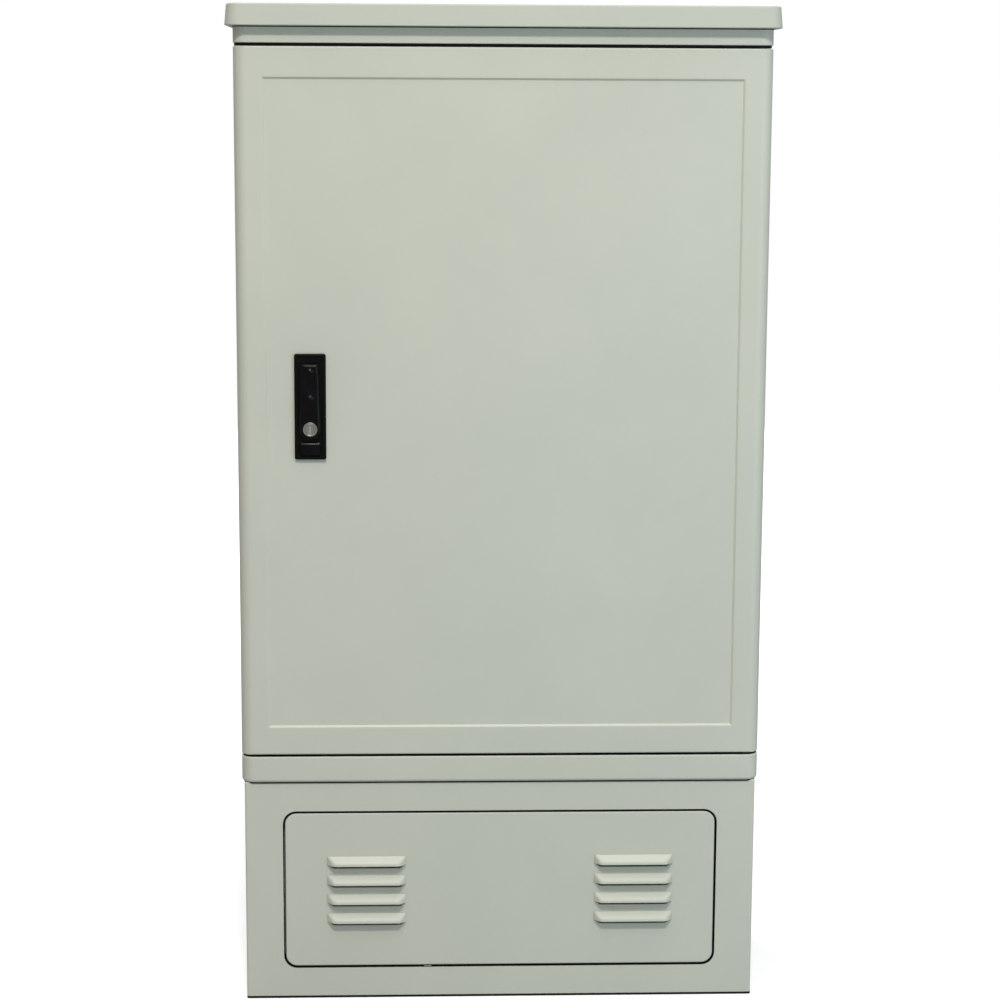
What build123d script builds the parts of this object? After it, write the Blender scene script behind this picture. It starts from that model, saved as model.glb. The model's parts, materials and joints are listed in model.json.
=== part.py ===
"""Roadside fibre cabinet: a moulded case on a plinth, its door and lock, and what it holds.

Lengths are in millimetres. X runs to the right as seen from the door, Y runs from
the door to the back and Z runs up. The origin is on the ground, in mid cabinet.
"""

import os
from math import cos, radians, sin

from build123d import *

# Case, and the fits that its pieces share
case_width = 750.0
case_depth = 320.0
corner_radius = 18.0
wall = 6.0
running_gap = 0.05
seat_gap = 0.3
overrun = 5.0
round_sides = 16

# Heights of the layers, from the ground up
plinth_height = 328.0
sill_height = 38.5
sill_gap = 3.5
door_height = 1005.5
head_gap = 4.5
head_height = 23.0
skirt_height = 30.0
crown_height = 3.0

# Plinth
plinth_inset = 4.0
plinth_corner = 2.5
foot_flange = 60.0
foot_thickness = 8.0
plinth_flange = 40.0
anchor_edge = 36.0
anchor_radius = 7.0

# Access hatch of the plinth
hatch_side = 57.5
hatch_lift = 49.0
hatch_drop = 47.0
hatch_gap = 3.0
hatch_corner = 16.5
hatch_skin = 4.0
hatch_wall = 8.0
hatch_depth = 18.0
hatch_bevel = 1.2
hatch_lip = 14.0
lip_thickness = 5.0
rim_wall = 6.0

# Louvres of the hatch
louvre_rows = 4
louvre_pitch = 28.8
louvre_width = 111.0
louvre_lip_width = 95.0
louvre_slope = 8.0
louvre_lip = 4.7
louvre_reach = 9.0
louvre_wall = 2.2
louvre_undercut = 5.5
louvre_lift = 1.2
louvre_margin = 118.5

# Spring clips of the hatch
clip_width = 30.0
clip_blade = 1.6
clip_reach = 14.0
clip_margin = 113.5

# Sill and top frame
ring_width = 60.0
ring_wall = 9.0
sill_bevel = 3.5
head_bevel = 3.0
upstand = 32.0
rain_rim = 10.0

# Roof cap
side_eave = 10.4
front_eave = 14.0
cap_corner = 20.0
cap_draft = 5.0
cap_bevel = 4.5
cap_rim = 40.0
cap_roof = 5.0
crown_inset = 24.0
crown_run = 90.0

# Side and rear panels
flange_width = 32.0
panel_recess = 2.5
panel_slope = 45.0
side_margin = 34.0
panel_margin = 42.0
panel_edge = 2.0

# Door
door_skin = 4.5
door_edge = 1.8
field_side_margin = 40.4
field_top_margin = 42.0
field_bottom_margin = 40.6
seal_gap = 4.0
gasket_inset = 1.5
gasket_width = 14.0

# Door pivots
pin_radius = 5.0
pin_entry = 28.0
pin_tail = 14.0
bush_radius = 8.0
bush_length = 30.0

# Lock housing
lock_inset = 103.5
lock_rise = 506.0
housing_width = 44.5
housing_height = 150.0
housing_plate = 5.0
housing_corner = 3.0
housing_bevel = 1.6
housing_border = 4.0
housing_dish = 1.2
pad_width = 28.0
pad_height = 19.0
pad_lift = 6.0
pad_proud = 3.0
pad_bevel = 1.6
body_width = 36.0
body_height = 136.0
body_depth = 15.5
cutout_play = 0.5
clamp_border = 10.0
clamp_thickness = 3.0

# Handle, key cylinder and spindle
pivot_rise = 57.0
key_drop = 31.0
handle_thickness = 8.4
handle_head = 24.0
handle_end_radius = 14.5
handle_tip = 1.0
handle_tip_width = 20.0
handle_round = 1.8
nub_width = 12.0
nub_height = 11.0
nub_drop = 42.0
nub_proud = 2.0
nub_bevel = 1.4
handle_pin_radius = 1.6
handle_pin_length = 21.0
tongue_width = 8.0
tongue_radius = 3.1
slot_play = 0.3
lift_angle = 60.0
barrel_radius = 10.0
barrel_proud = 0.4
plug_radius = 7.6
plug_length = 7.0
keyway_width = 1.8
keyway_height = 9.0
keyway_depth = 4.0
spindle_radius = 7.0
spindle_square = 9.0

# Crank and lock rods
crank_radius = 18.0
crank_angle = 45.0
crank_hub = 10.0
crank_eye = 6.0
crank_plate = 3.0
crank_pin_radius = 3.0
crank_pin_length = 4.8
crank_gap = 0.5
rod_gap = 1.0
rod_radius = 4.0
rod_slack = 0.4
rod_sag = 0.6
rod_border = 4.0
rod_plate = 3.0
rod_rest = 1.0
keeper_play = 3.0
guide_width = 24.0
guide_height = 26.0
guide_sheet = 3.0
guide_upper_drop = 125.5
guide_lower_rise = 150.0

# Document pocket of the door
pocket_inset = 135.0
pocket_rise = 190.0
pocket_width = 300.0
pocket_height = 200.0
pocket_depth = 22.0
pocket_wall = 2.0

# Cable entry
entry_sheet = 3.0
entry_side_play = 9.0
entry_front_play = 3.0
entry_back_play = 5.0
entry_count = 4
entry_pitch = 130.0
entry_radius = 24.0
grommet_flange = 30.0
grommet_lip = 5.0

# Equipment rack
rack_setback = 46.0
upright_width = 40.0
upright_depth = 34.0
upright_sheet = 2.5
upright_left_inset = 65.0
upright_right_inset = 53.0
store_bay = 226.0
bracket_gap = 2.0

# Splice and distribution modules
module_sheet = 2.0
module_setback = 54.0
module_headroom = 82.0
module_spacing = 32.0
tray_count = 6
tray_pitch = 44.0
tray_height = 31.0
tray_side_play = 3.0
tray_back_play = 6.0
tray_setback = 4.0
hub_size = 14.0
tray_pin_radius = 3.0
adapter_side = 20.0
adapter_pitch = 60.0
adapter_width = 52.0
adapter_height = 11.0
adapter_reach = 18.0
adapter_shift = 12.0

# Fibre store
store_sheet = 2.0
spool_count = 4
spool_pitch = 140.0
spool_radius = 36.0
spool_flange = 50.0
spool_lip = 3.0
spool_length = 52.0

# Cable clamps and earth bar
clamp_rise_share = 0.64
clamp_bar_height = 40.0
clamp_bar_depth = 30.0
clamp_bar_sheet = 3.0
saddle_width = 40.0
saddle_depth = 22.0
saddle_height = 24.0
saddle_notch = 16.0
saddle_angle = 45.0
earth_rise_share = 0.3
earth_height = 30.0
earth_thickness = 5.0
insulator_radius = 9.0
insulator_sides = 6
insulator_length = 24.0

# Levels and places that follow from the sizes above
deck_z = plinth_height + sill_height
door_bottom = deck_z + sill_gap
door_top = door_bottom + door_height
head_z = door_top + head_gap
cap_z = head_z + head_height
roof_z = cap_z + skirt_height
panel_height = head_z - deck_z
front_y = -case_depth / 2
back_y = case_depth / 2
half_width = case_width / 2
rim_y = front_y + 2 * corner_radius
flange_y = rim_y + seal_gap
rear_y = back_y - 2 * corner_radius
pivot_x = half_width - corner_radius
pivot_y = front_y + corner_radius
plinth_width = case_width - 2 * plinth_inset
plinth_depth = case_depth - 2 * plinth_inset
plinth_front = -plinth_depth / 2
hatch_width = plinth_width - 2 * hatch_side
hatch_height = plinth_height - hatch_lift - hatch_drop
hatch_mid = hatch_lift + hatch_height / 2
louvre_offset = hatch_width / 2 - louvre_margin
clip_offset = hatch_width / 2 - clip_margin
lock_x = lock_inset - half_width
lock_z = door_bottom + lock_rise
guide_upper_z = door_top - guide_upper_drop
guide_lower_z = door_bottom + guide_lower_rise
pocket_x = half_width - pocket_inset - pocket_width / 2
pocket_z = door_bottom + pocket_rise + pocket_height / 2
field_y = front_y + panel_recess
lining_y = field_y + door_skin
plate_y = field_y - housing_plate
handle_back = plate_y - seat_gap
handle_front = handle_back - handle_thickness
handle_axis_y = handle_back - handle_thickness / 2
spindle_z = lock_z + pivot_rise
key_z = lock_z - key_drop
pad_z = lock_z - housing_height / 2 + pad_lift + pad_height / 2
nub_z = spindle_z - nub_drop
housing_rear = field_y + body_depth
crank_y = housing_rear + crank_gap
crank_rear = crank_y + crank_plate
rod_front = crank_rear + rod_gap
rod_y = rod_front + rod_radius
crank_x = crank_radius * cos(radians(crank_angle))
crank_rise = crank_radius * sin(radians(crank_angle))
rod_offset = (crank_radius + crank_x) / 2
slot_length = crank_radius - crank_x + 2 * (crank_pin_radius + rod_slack)
slot_height = 2 * (crank_pin_radius + rod_slack + rod_sag)
keeper_size = 2 * (rod_radius + keeper_play)
rod_upper_x = lock_x + rod_offset
rod_lower_x = lock_x - rod_offset
entry_z = deck_z + entry_sheet
entry_front = flange_y + wall + entry_front_play
entry_back = rear_y - wall - entry_back_play
entry_depth = entry_back - entry_front
entry_y = (entry_back + entry_front) / 2
entry_width = case_width - 2 * (wall + entry_side_play)
rack_y = rear_y - rack_setback
upright_left_x = upright_left_inset - half_width
upright_right_x = half_width - upright_right_inset
upright_middle_x = upright_right_x - store_bay
module_left = upright_left_x - upright_width / 2
module_right = upright_middle_x - bracket_gap / 2
module_width = module_right - module_left
module_x = (module_left + module_right) / 2
module_front = flange_y + module_setback
module_depth = rack_y - module_front
module_height = tray_count * tray_pitch + 2 * module_sheet
module_upper_z = head_z - module_headroom - module_height
module_lower_z = module_upper_z - module_spacing - module_height
store_height = 2 * module_height + module_spacing
clamp_bar_z = entry_z + clamp_rise_share * (module_lower_z - entry_z)
earth_z = entry_z + earth_rise_share * (module_lower_z - entry_z)
store_left = upright_middle_x + bracket_gap / 2
store_right = upright_right_x + upright_width / 2
store_width = store_right - store_left
store_x = (store_left + store_right) / 2
bar_left = module_left
bar_width = store_right - bar_left
bar_x = (bar_left + store_right) / 2
earth_width = upright_middle_x - upright_left_x + upright_width
earth_x = (upright_left_x + upright_middle_x) / 2
crank_spots = [(lock_x + crank_x, spindle_z - crank_rise), (lock_x - crank_x, spindle_z + crank_rise)]

os.makedirs("parts", exist_ok=True)


def facing(y):
    """Plane at depth y that looks out of the door: its own x is X and its own y is Z."""
    return Plane(origin=(0, y, 0), x_dir=(1, 0, 0), z_dir=(0, -1, 0))


def level(z):
    """Level plane at height z."""
    return Plane.XY.offset(z)


def upright_plan(x):
    """Draw one upright's channel section, open to the back, in the sketch at work."""
    with Locations((x, rack_y + upright_depth / 2)):
        Rectangle(upright_width, upright_depth)
    with Locations((x, rack_y + upright_sheet + upright_depth / 2)):
        Rectangle(upright_width - 2 * upright_sheet, upright_depth, mode=Mode.SUBTRACT)


def louvre_end(side, half):
    """Plane of a louvre's sloping end that meets the hatch at half its width, facing outwards."""
    lean = (louvre_width - louvre_lip_width) / 2
    return Plane(origin=(side * half, 0, 0), x_dir=(0, 0, 1), z_dir=(side * louvre_reach, -lean, 0))


# Plinth: four walls, a foot flange with anchor holes, a top flange and the hatch's seat
opening_width = hatch_width + 2 * hatch_gap
opening_height = hatch_height + 2 * hatch_gap
opening_corner = hatch_corner + hatch_gap
seat_depth = hatch_depth + seat_gap

with BuildPart() as plinth:
    with BuildSketch() as plinth_outline:
        Rectangle(plinth_width, plinth_depth)
        chamfer(plinth_outline.vertices(), plinth_corner)
        Rectangle(plinth_width - 2 * wall, plinth_depth - 2 * wall, mode=Mode.SUBTRACT)
    extrude(amount=plinth_height)
    with BuildSketch():
        Rectangle(plinth_width - wall, plinth_depth - wall)
        Rectangle(plinth_width - 2 * foot_flange, plinth_depth - 2 * foot_flange, mode=Mode.SUBTRACT)
        with GridLocations(plinth_width - 2 * anchor_edge, plinth_depth - 2 * anchor_edge, 2, 2):
            Circle(anchor_radius, mode=Mode.SUBTRACT)
    extrude(amount=foot_thickness)
    with BuildSketch(level(plinth_height - wall)):
        Rectangle(plinth_width - wall, plinth_depth - wall)
        Rectangle(plinth_width - 2 * plinth_flange, plinth_depth - 2 * plinth_flange, mode=Mode.SUBTRACT)
    extrude(amount=wall)
    with BuildSketch(facing(plinth_front + wall / 2)):
        with Locations((0, hatch_mid)):
            Rectangle(opening_width + 2 * rim_wall, opening_height + 2 * rim_wall)
    extrude(amount=-(seat_depth + lip_thickness - wall / 2))
    with BuildSketch(facing(plinth_front)):
        with Locations((0, hatch_mid)):
            RectangleRounded(opening_width, opening_height, opening_corner)
    extrude(amount=-seat_depth, mode=Mode.SUBTRACT)
    with BuildSketch(facing(plinth_front)):
        with Locations((0, hatch_mid)):
            Rectangle(opening_width - 2 * hatch_lip, opening_height - 2 * hatch_lip)
    extrude(amount=-(seat_depth + lip_thickness), mode=Mode.SUBTRACT)
plinth.part.label = "plinth"
export_step(plinth.part, "parts/plinth.step")

# One louvre: a hood with sloping top and ends, and the hollow that opens it downwards
louvre_height = louvre_slope + louvre_lip
louvre_top = louvre_height / 2
louvre_foot = -louvre_height / 2

with BuildPart() as louvre_hood:
    with BuildSketch(Plane.YZ):
        with BuildLine():
            Polyline(
                (0, louvre_top),
                (-louvre_reach, louvre_foot + louvre_lip),
                (-louvre_reach, louvre_foot),
                (0, louvre_foot),
                close=True,
            )
        make_face()
    extrude(amount=louvre_width / 2, both=True)
    for side in (-1, 1):
        split(bisect_by=louvre_end(side, louvre_width / 2), keep=Keep.BOTTOM)

with BuildPart() as louvre_hollow:
    with BuildSketch(Plane.YZ):
        with BuildLine():
            Polyline(
                (hatch_skin + overrun, louvre_top - louvre_wall),
                (0, louvre_top - louvre_wall),
                (louvre_wall - louvre_reach, louvre_foot + louvre_lip - louvre_wall),
                (louvre_wall - louvre_reach, louvre_foot - louvre_undercut),
                (hatch_skin + overrun, louvre_foot - louvre_undercut),
                close=True,
            )
        make_face()
    extrude(amount=louvre_width / 2 - louvre_wall, both=True)
    for side in (-1, 1):
        split(bisect_by=louvre_end(side, louvre_width / 2 - louvre_wall), keep=Keep.BOTTOM)

louvre_spots = [
    (side * louvre_offset, plinth_front, hatch_mid + louvre_lift + (row - (louvre_rows - 1) / 2) * louvre_pitch)
    for side in (-1, 1)
    for row in range(louvre_rows)
]

# Access hatch: a shallow pan, flush with the plinth, with two banks of louvres
with BuildPart() as access_hatch:
    with BuildSketch(facing(plinth_front)):
        with Locations((0, hatch_mid)):
            RectangleRounded(hatch_width, hatch_height, hatch_corner)
    extrude(amount=-hatch_depth)
    chamfer(access_hatch.faces().sort_by(Axis.Y)[0].edges(), hatch_bevel)
    with BuildSketch(facing(plinth_front + hatch_skin)):
        with Locations((0, hatch_mid)):
            Rectangle(hatch_width - 2 * hatch_wall, hatch_height - 2 * hatch_wall)
    extrude(amount=-hatch_depth, mode=Mode.SUBTRACT)
    with Locations(*louvre_spots):
        add(louvre_hood.part)
    with Locations(*louvre_spots):
        add(louvre_hollow.part, mode=Mode.SUBTRACT)
access_hatch.part.label = "access_hatch"
export_step(access_hatch.part, "parts/access_hatch.step")

# Spring clips: they sit on the hatch's walls and reach past the lip of the seat
clip_root = hatch_height / 2 - hatch_wall
clip_face = opening_height / 2 - hatch_lip - seat_gap
clip_start = plinth_front + hatch_skin + seat_gap
clip_end = plinth_front + seat_depth + lip_thickness + clip_reach

with BuildPart() as hatch_clips:
    for side in (-1, 1):
        for rise in (-1, 1):
            with BuildSketch(Plane.YZ.offset(side * clip_offset - clip_width / 2)):
                with BuildLine():
                    Polyline(
                        (clip_start, hatch_mid + rise * clip_root),
                        (plinth_front + hatch_depth, hatch_mid + rise * clip_root),
                        (plinth_front + hatch_depth, hatch_mid + rise * clip_face),
                        (clip_end, hatch_mid + rise * clip_face),
                        (clip_end, hatch_mid + rise * (clip_face - clip_blade)),
                        (clip_start, hatch_mid + rise * (clip_face - clip_blade)),
                        close=True,
                    )
                make_face()
            extrude(amount=clip_width)
hatch_clips.part.label = "hatch_clips"
export_step(hatch_clips.part, "parts/hatch_clips.step")

# Sill: a ring channel with holes for the lower pivot pin and the lower lock rod
with BuildPart() as sill_frame:
    with BuildSketch(level(plinth_height)):
        RectangleRounded(case_width, case_depth, corner_radius)
    extrude(amount=sill_height)
    chamfer(sill_frame.faces().sort_by(Axis.Z)[0].edges(), sill_bevel)
    with BuildSketch(level(plinth_height)):
        Rectangle(case_width - 2 * ring_width, case_depth - 2 * ring_width)
    extrude(amount=sill_height, mode=Mode.SUBTRACT)
    with BuildSketch(level(plinth_height)):
        Rectangle(case_width - 2 * ring_wall, case_depth - 2 * ring_wall)
        Rectangle(
            case_width - 2 * (ring_width - wall), case_depth - 2 * (ring_width - wall), mode=Mode.SUBTRACT
        )
    extrude(amount=sill_height - wall, mode=Mode.SUBTRACT)
    with BuildSketch(level(deck_z)):
        with Locations((pivot_x, pivot_y)):
            Circle(pin_radius + running_gap)
        with Locations((rod_lower_x, rod_y)):
            Rectangle(keeper_size, keeper_size)
    extrude(amount=-sill_height, mode=Mode.SUBTRACT)
sill_frame.part.label = "sill_frame"
export_step(sill_frame.part, "parts/sill_frame.step")

# Top frame: the same ring the other way up, with a rain rim inside the cap
with BuildPart() as top_frame:
    with BuildSketch(level(head_z)):
        RectangleRounded(case_width, case_depth, corner_radius)
    extrude(amount=head_height)
    chamfer(top_frame.faces().sort_by(Axis.Z)[0].edges(), head_bevel)
    with BuildSketch(level(cap_z)):
        Rectangle(case_width - 2 * (ring_width - wall), case_depth - 2 * (ring_width - wall))
    extrude(amount=rain_rim)
    with BuildSketch(level(head_z)):
        Rectangle(case_width - 2 * ring_width, case_depth - 2 * ring_width)
    extrude(amount=head_height + rain_rim, mode=Mode.SUBTRACT)
    with BuildSketch(level(cap_z)):
        Rectangle(case_width - 2 * ring_wall, case_depth - 2 * ring_wall)
        Rectangle(
            case_width - 2 * (ring_width - wall), case_depth - 2 * (ring_width - wall), mode=Mode.SUBTRACT
        )
    extrude(amount=wall - head_height, mode=Mode.SUBTRACT)
    with BuildSketch(level(head_z)):
        with Locations((pivot_x, pivot_y)):
            Circle(pin_radius + running_gap)
        with Locations((rod_upper_x, rod_y)):
            Rectangle(keeper_size, keeper_size)
    extrude(amount=head_height, mode=Mode.SUBTRACT)
top_frame.part.label = "top_frame"
export_step(top_frame.part, "parts/top_frame.step")

# Door stops: strips between the side panels' flanges, behind the door's rim
stop_width = case_width - 2 * flange_width

with BuildPart() as sill_stop:
    with BuildSketch(level(deck_z)):
        with Locations((0, flange_y + wall / 2)):
            Rectangle(stop_width, wall)
    extrude(amount=upstand)
sill_stop.part.label = "sill_stop"
export_step(sill_stop.part, "parts/sill_stop.step")

with BuildPart() as head_stop:
    with BuildSketch(level(head_z)):
        with Locations((0, flange_y + wall / 2)):
            Rectangle(stop_width, wall)
    extrude(amount=-upstand)
head_stop.part.label = "head_stop"
export_step(head_stop.part, "parts/head_stop.step")

# Roof cap: a drafted skirt, a low crown and a hollow over the top frame
cap_width = case_width + 2 * side_eave
cap_depth = case_depth + 2 * front_eave

crown_width = cap_width - 2 * crown_inset
crown_depth = cap_depth - 2 * crown_inset

with BuildPart() as crown:
    with BuildSketch(Plane.YZ):
        with BuildLine():
            Polyline(
                (-crown_depth / 2, roof_z),
                (crown_run - crown_depth / 2, roof_z + crown_height),
                (crown_depth / 2 - crown_run, roof_z + crown_height),
                (crown_depth / 2, roof_z),
                (crown_depth / 2, roof_z - cap_bevel),
                (-crown_depth / 2, roof_z - cap_bevel),
                close=True,
            )
        make_face()
    extrude(amount=crown_width / 2, both=True)
    for side in (-1, 1):
        hip = Plane(
            origin=(side * crown_width / 2, 0, roof_z), x_dir=(0, 1, 0), z_dir=(side * crown_height, 0, crown_run)
        )
        split(bisect_by=hip, keep=Keep.BOTTOM)

with BuildPart() as roof_cap:
    with BuildSketch(level(cap_z)):
        RectangleRounded(cap_width, cap_depth, cap_corner)
    extrude(amount=skirt_height, taper=cap_draft)
    chamfer(roof_cap.faces().sort_by(Axis.Z)[-1].edges(), cap_bevel)
    add(crown.part)
    with BuildSketch(level(cap_z)):
        Rectangle(cap_width - 2 * cap_rim, cap_depth - 2 * cap_rim)
    extrude(amount=skirt_height - cap_roof, mode=Mode.SUBTRACT)
roof_cap.part.label = "roof_cap"
export_step(roof_cap.part, "parts/roof_cap.step")

# Side panels: a sheet with a recessed field and a flange at each end
panel_depth = rear_y - flange_y
panel_y = (rear_y + flange_y) / 2

with BuildPart() as side_panel_right:
    with BuildSketch(level(deck_z)):
        with Locations((half_width - wall / 2, panel_y)):
            Rectangle(wall, panel_depth)
        with Locations((half_width - flange_width / 2, flange_y + wall / 2)):
            Rectangle(flange_width, wall)
        with Locations((half_width - flange_width / 2, rear_y - wall / 2)):
            Rectangle(flange_width, wall)
    extrude(amount=panel_height)
    outer_face = side_panel_right.faces().sort_by(Axis.X)[-1]
    fillet(outer_face.edges().filter_by(Axis.Z), panel_edge)
    with BuildSketch(Plane.YZ.offset(half_width)):
        with Locations((panel_y, deck_z + panel_height / 2)):
            Rectangle(panel_depth - 2 * side_margin, panel_height - 2 * panel_margin)
    extrude(amount=-panel_recess, taper=panel_slope, mode=Mode.SUBTRACT)
side_panel_right.part.label = "side_panel_right"
export_step(side_panel_right.part, "parts/side_panel_right.step")

with BuildPart() as side_panel_left:
    mirror(side_panel_right.part, about=Plane.YZ)
side_panel_left.part.label = "side_panel_left"
export_step(side_panel_left.part, "parts/side_panel_left.step")

# Rear panel: a fixed pan with rounded corners, recessed like the door
rear_lining = back_y - panel_recess - door_skin
hollow_corner = corner_radius - wall
rear_hollow = rear_lining - rear_y + corner_radius

with BuildPart() as rear_panel:
    with BuildSketch(level(deck_z)):
        with BuildLine():
            Line((half_width, rear_y), (half_width, back_y - corner_radius))
            CenterArc((half_width - corner_radius, back_y - corner_radius), corner_radius, 0, 90)
            Line((half_width - corner_radius, back_y), (corner_radius - half_width, back_y))
            CenterArc((corner_radius - half_width, back_y - corner_radius), corner_radius, 90, 90)
            Line((-half_width, back_y - corner_radius), (-half_width, rear_y))
            Line((-half_width, rear_y), (half_width, rear_y))
        make_face()
    extrude(amount=panel_height)
    with BuildSketch(level(deck_z + wall)):
        with Locations((0, rear_lining - rear_hollow / 2)):
            RectangleRounded(case_width - 2 * wall, rear_hollow, hollow_corner)
    extrude(amount=panel_height - 2 * wall, mode=Mode.SUBTRACT)
    with BuildSketch(facing(back_y)):
        with Locations((0, deck_z + panel_height / 2)):
            Rectangle(case_width - 2 * panel_margin, panel_height - 2 * panel_margin)
    extrude(amount=panel_recess, taper=panel_slope, mode=Mode.SUBTRACT)
rear_panel.part.label = "rear_panel"
export_step(rear_panel.part, "parts/rear_panel.step")

# Door: a pan with a recessed field, a lock cut-out and a half-round hinge edge
stile_x = pivot_x - wall
door_hollow_width = stile_x + half_width - wall
door_hollow_x = (stile_x - half_width + wall) / 2
door_hollow_depth = rim_y - lining_y + corner_radius

with BuildPart() as door_panel:
    with BuildSketch(level(door_bottom)):
        with BuildLine():
            Line((-half_width, rim_y), (-half_width, pivot_y))
            CenterArc((-pivot_x, pivot_y), corner_radius, 180, 90)
            Line((-pivot_x, front_y), (pivot_x, front_y))
            CenterArc((pivot_x, pivot_y), corner_radius, 270, 180)
            Line((pivot_x, rim_y), (-half_width, rim_y))
        make_face()
    extrude(amount=door_height)
    for end in (door_panel.faces().sort_by(Axis.Z)[0], door_panel.faces().sort_by(Axis.Z)[-1]):
        chamfer(end.edges().sort_by(Axis.Y)[:-1], door_edge)
    with BuildSketch(level(door_bottom + wall)):
        with Locations((door_hollow_x, lining_y + door_hollow_depth / 2)):
            RectangleRounded(door_hollow_width, door_hollow_depth, hollow_corner)
    extrude(amount=door_height - 2 * wall, mode=Mode.SUBTRACT)
    with BuildSketch(facing(front_y)):
        with Locations((0, door_bottom + (door_height + field_bottom_margin - field_top_margin) / 2)):
            Rectangle(
                case_width - 2 * field_side_margin, door_height - field_top_margin - field_bottom_margin
            )
    extrude(amount=-panel_recess, taper=panel_slope, mode=Mode.SUBTRACT)
    with BuildSketch(facing(front_y)):
        with Locations((lock_x, lock_z)):
            Rectangle(body_width + 2 * cutout_play, body_height + 2 * cutout_play)
    extrude(amount=-(panel_recess + door_skin), mode=Mode.SUBTRACT)
    with BuildSketch(level(door_top)):
        with Locations((rod_upper_x, rod_y)):
            Circle(rod_radius + seat_gap)
    extrude(amount=-wall, mode=Mode.SUBTRACT)
    with BuildSketch(level(door_bottom)):
        with Locations((rod_lower_x, rod_y)):
            Circle(rod_radius + seat_gap)
    extrude(amount=wall, mode=Mode.SUBTRACT)
    with BuildSketch(level(door_bottom)):
        with Locations((pivot_x, pivot_y)):
            Circle(bush_radius + running_gap)
    extrude(amount=bush_length, mode=Mode.SUBTRACT)
    with BuildSketch(level(door_top)):
        with Locations((pivot_x, pivot_y)):
            Circle(bush_radius + running_gap)
    extrude(amount=-bush_length, mode=Mode.SUBTRACT)
door_panel.part.label = "door_panel"
export_step(door_panel.part, "parts/door_panel.step")

# Door gasket: a ring on the case's front flanges, just clear of the door's rim
gasket_out_width = case_width - 2 * gasket_inset
gasket_out_height = door_height - 2 * gasket_inset

with BuildPart() as door_gasket:
    with BuildSketch(facing(flange_y)):
        with Locations((0, door_bottom + door_height / 2)):
            Rectangle(gasket_out_width, gasket_out_height)
            Rectangle(
                gasket_out_width - 2 * gasket_width, gasket_out_height - 2 * gasket_width, mode=Mode.SUBTRACT
            )
    extrude(amount=seal_gap - seat_gap)
door_gasket.part.label = "door_gasket"
export_step(door_gasket.part, "parts/door_gasket.step")

# Door pivots: pins in the sill and the top frame, proud bushes in the door's hinge edge
with BuildPart() as pivot_pins:
    with BuildSketch(level(deck_z - pin_tail)):
        with Locations((pivot_x, pivot_y)):
            Circle(pin_radius)
    extrude(amount=pin_tail + sill_gap + pin_entry)
    with BuildSketch(level(head_z + pin_tail)):
        with Locations((pivot_x, pivot_y)):
            Circle(pin_radius)
    extrude(amount=-(pin_tail + head_gap + pin_entry))
pivot_pins.part.label = "pivot_pins"
export_step(pivot_pins.part, "parts/pivot_pins.step")

bush_low = deck_z + seat_gap
bush_high = head_z - seat_gap

with BuildPart() as pivot_bushes:
    for bush_start, bush_end in ((bush_low, door_bottom + bush_length), (door_top - bush_length, bush_high)):
        with BuildSketch(level(bush_start)):
            with Locations((pivot_x, pivot_y)):
                Circle(bush_radius)
                Circle(pin_radius + running_gap, mode=Mode.SUBTRACT)
        extrude(amount=bush_end - bush_start)
pivot_bushes.part.label = "pivot_bushes"
export_step(pivot_bushes.part, "parts/pivot_bushes.step")

# Lock housing: a dished plate with a raised pad at its foot, and a body through the door's cut-out
with BuildPart() as lock_housing:
    with BuildSketch(facing(field_y)):
        with Locations((lock_x, lock_z)):
            RectangleRounded(housing_width, housing_height, housing_corner)
    extrude(amount=housing_plate)
    chamfer(lock_housing.faces().sort_by(Axis.Y)[0].edges(), housing_bevel)
    with BuildSketch(facing(field_y)):
        with Locations((lock_x, lock_z)):
            Rectangle(body_width, body_height)
    extrude(amount=-body_depth)
    with BuildSketch(facing(plate_y)):
        with Locations((lock_x, lock_z)):
            Rectangle(housing_width - 2 * housing_border, housing_height - 2 * housing_border)
    extrude(amount=-housing_dish, mode=Mode.SUBTRACT)
    with BuildSketch(facing(plate_y - pad_proud)):
        with Locations((lock_x, pad_z)):
            Rectangle(pad_width, pad_height)
    extrude(amount=-(pad_proud + housing_plate))
    chamfer(lock_housing.faces().sort_by(Axis.Y)[0].edges(), pad_bevel)
    with BuildSketch(facing(plate_y)):
        with Locations((lock_x, spindle_z)):
            Circle(spindle_radius + running_gap)
    extrude(amount=-(housing_plate + body_depth), mode=Mode.SUBTRACT)
lock_housing.part.label = "lock_housing"
export_step(lock_housing.part, "parts/lock_housing.step")

# Clamp plate: it holds the housing from inside the door
with BuildPart() as lock_clamp:
    with BuildSketch(facing(lining_y)):
        with Locations((lock_x, lock_z)):
            Rectangle(body_width + 2 * clamp_border, body_height + 2 * clamp_border)
            Rectangle(body_width + 2 * cutout_play, body_height + 2 * cutout_play, mode=Mode.SUBTRACT)
    extrude(amount=-clamp_thickness)
lock_clamp.part.label = "lock_clamp"
export_step(lock_clamp.part, "parts/lock_clamp.step")

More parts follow.
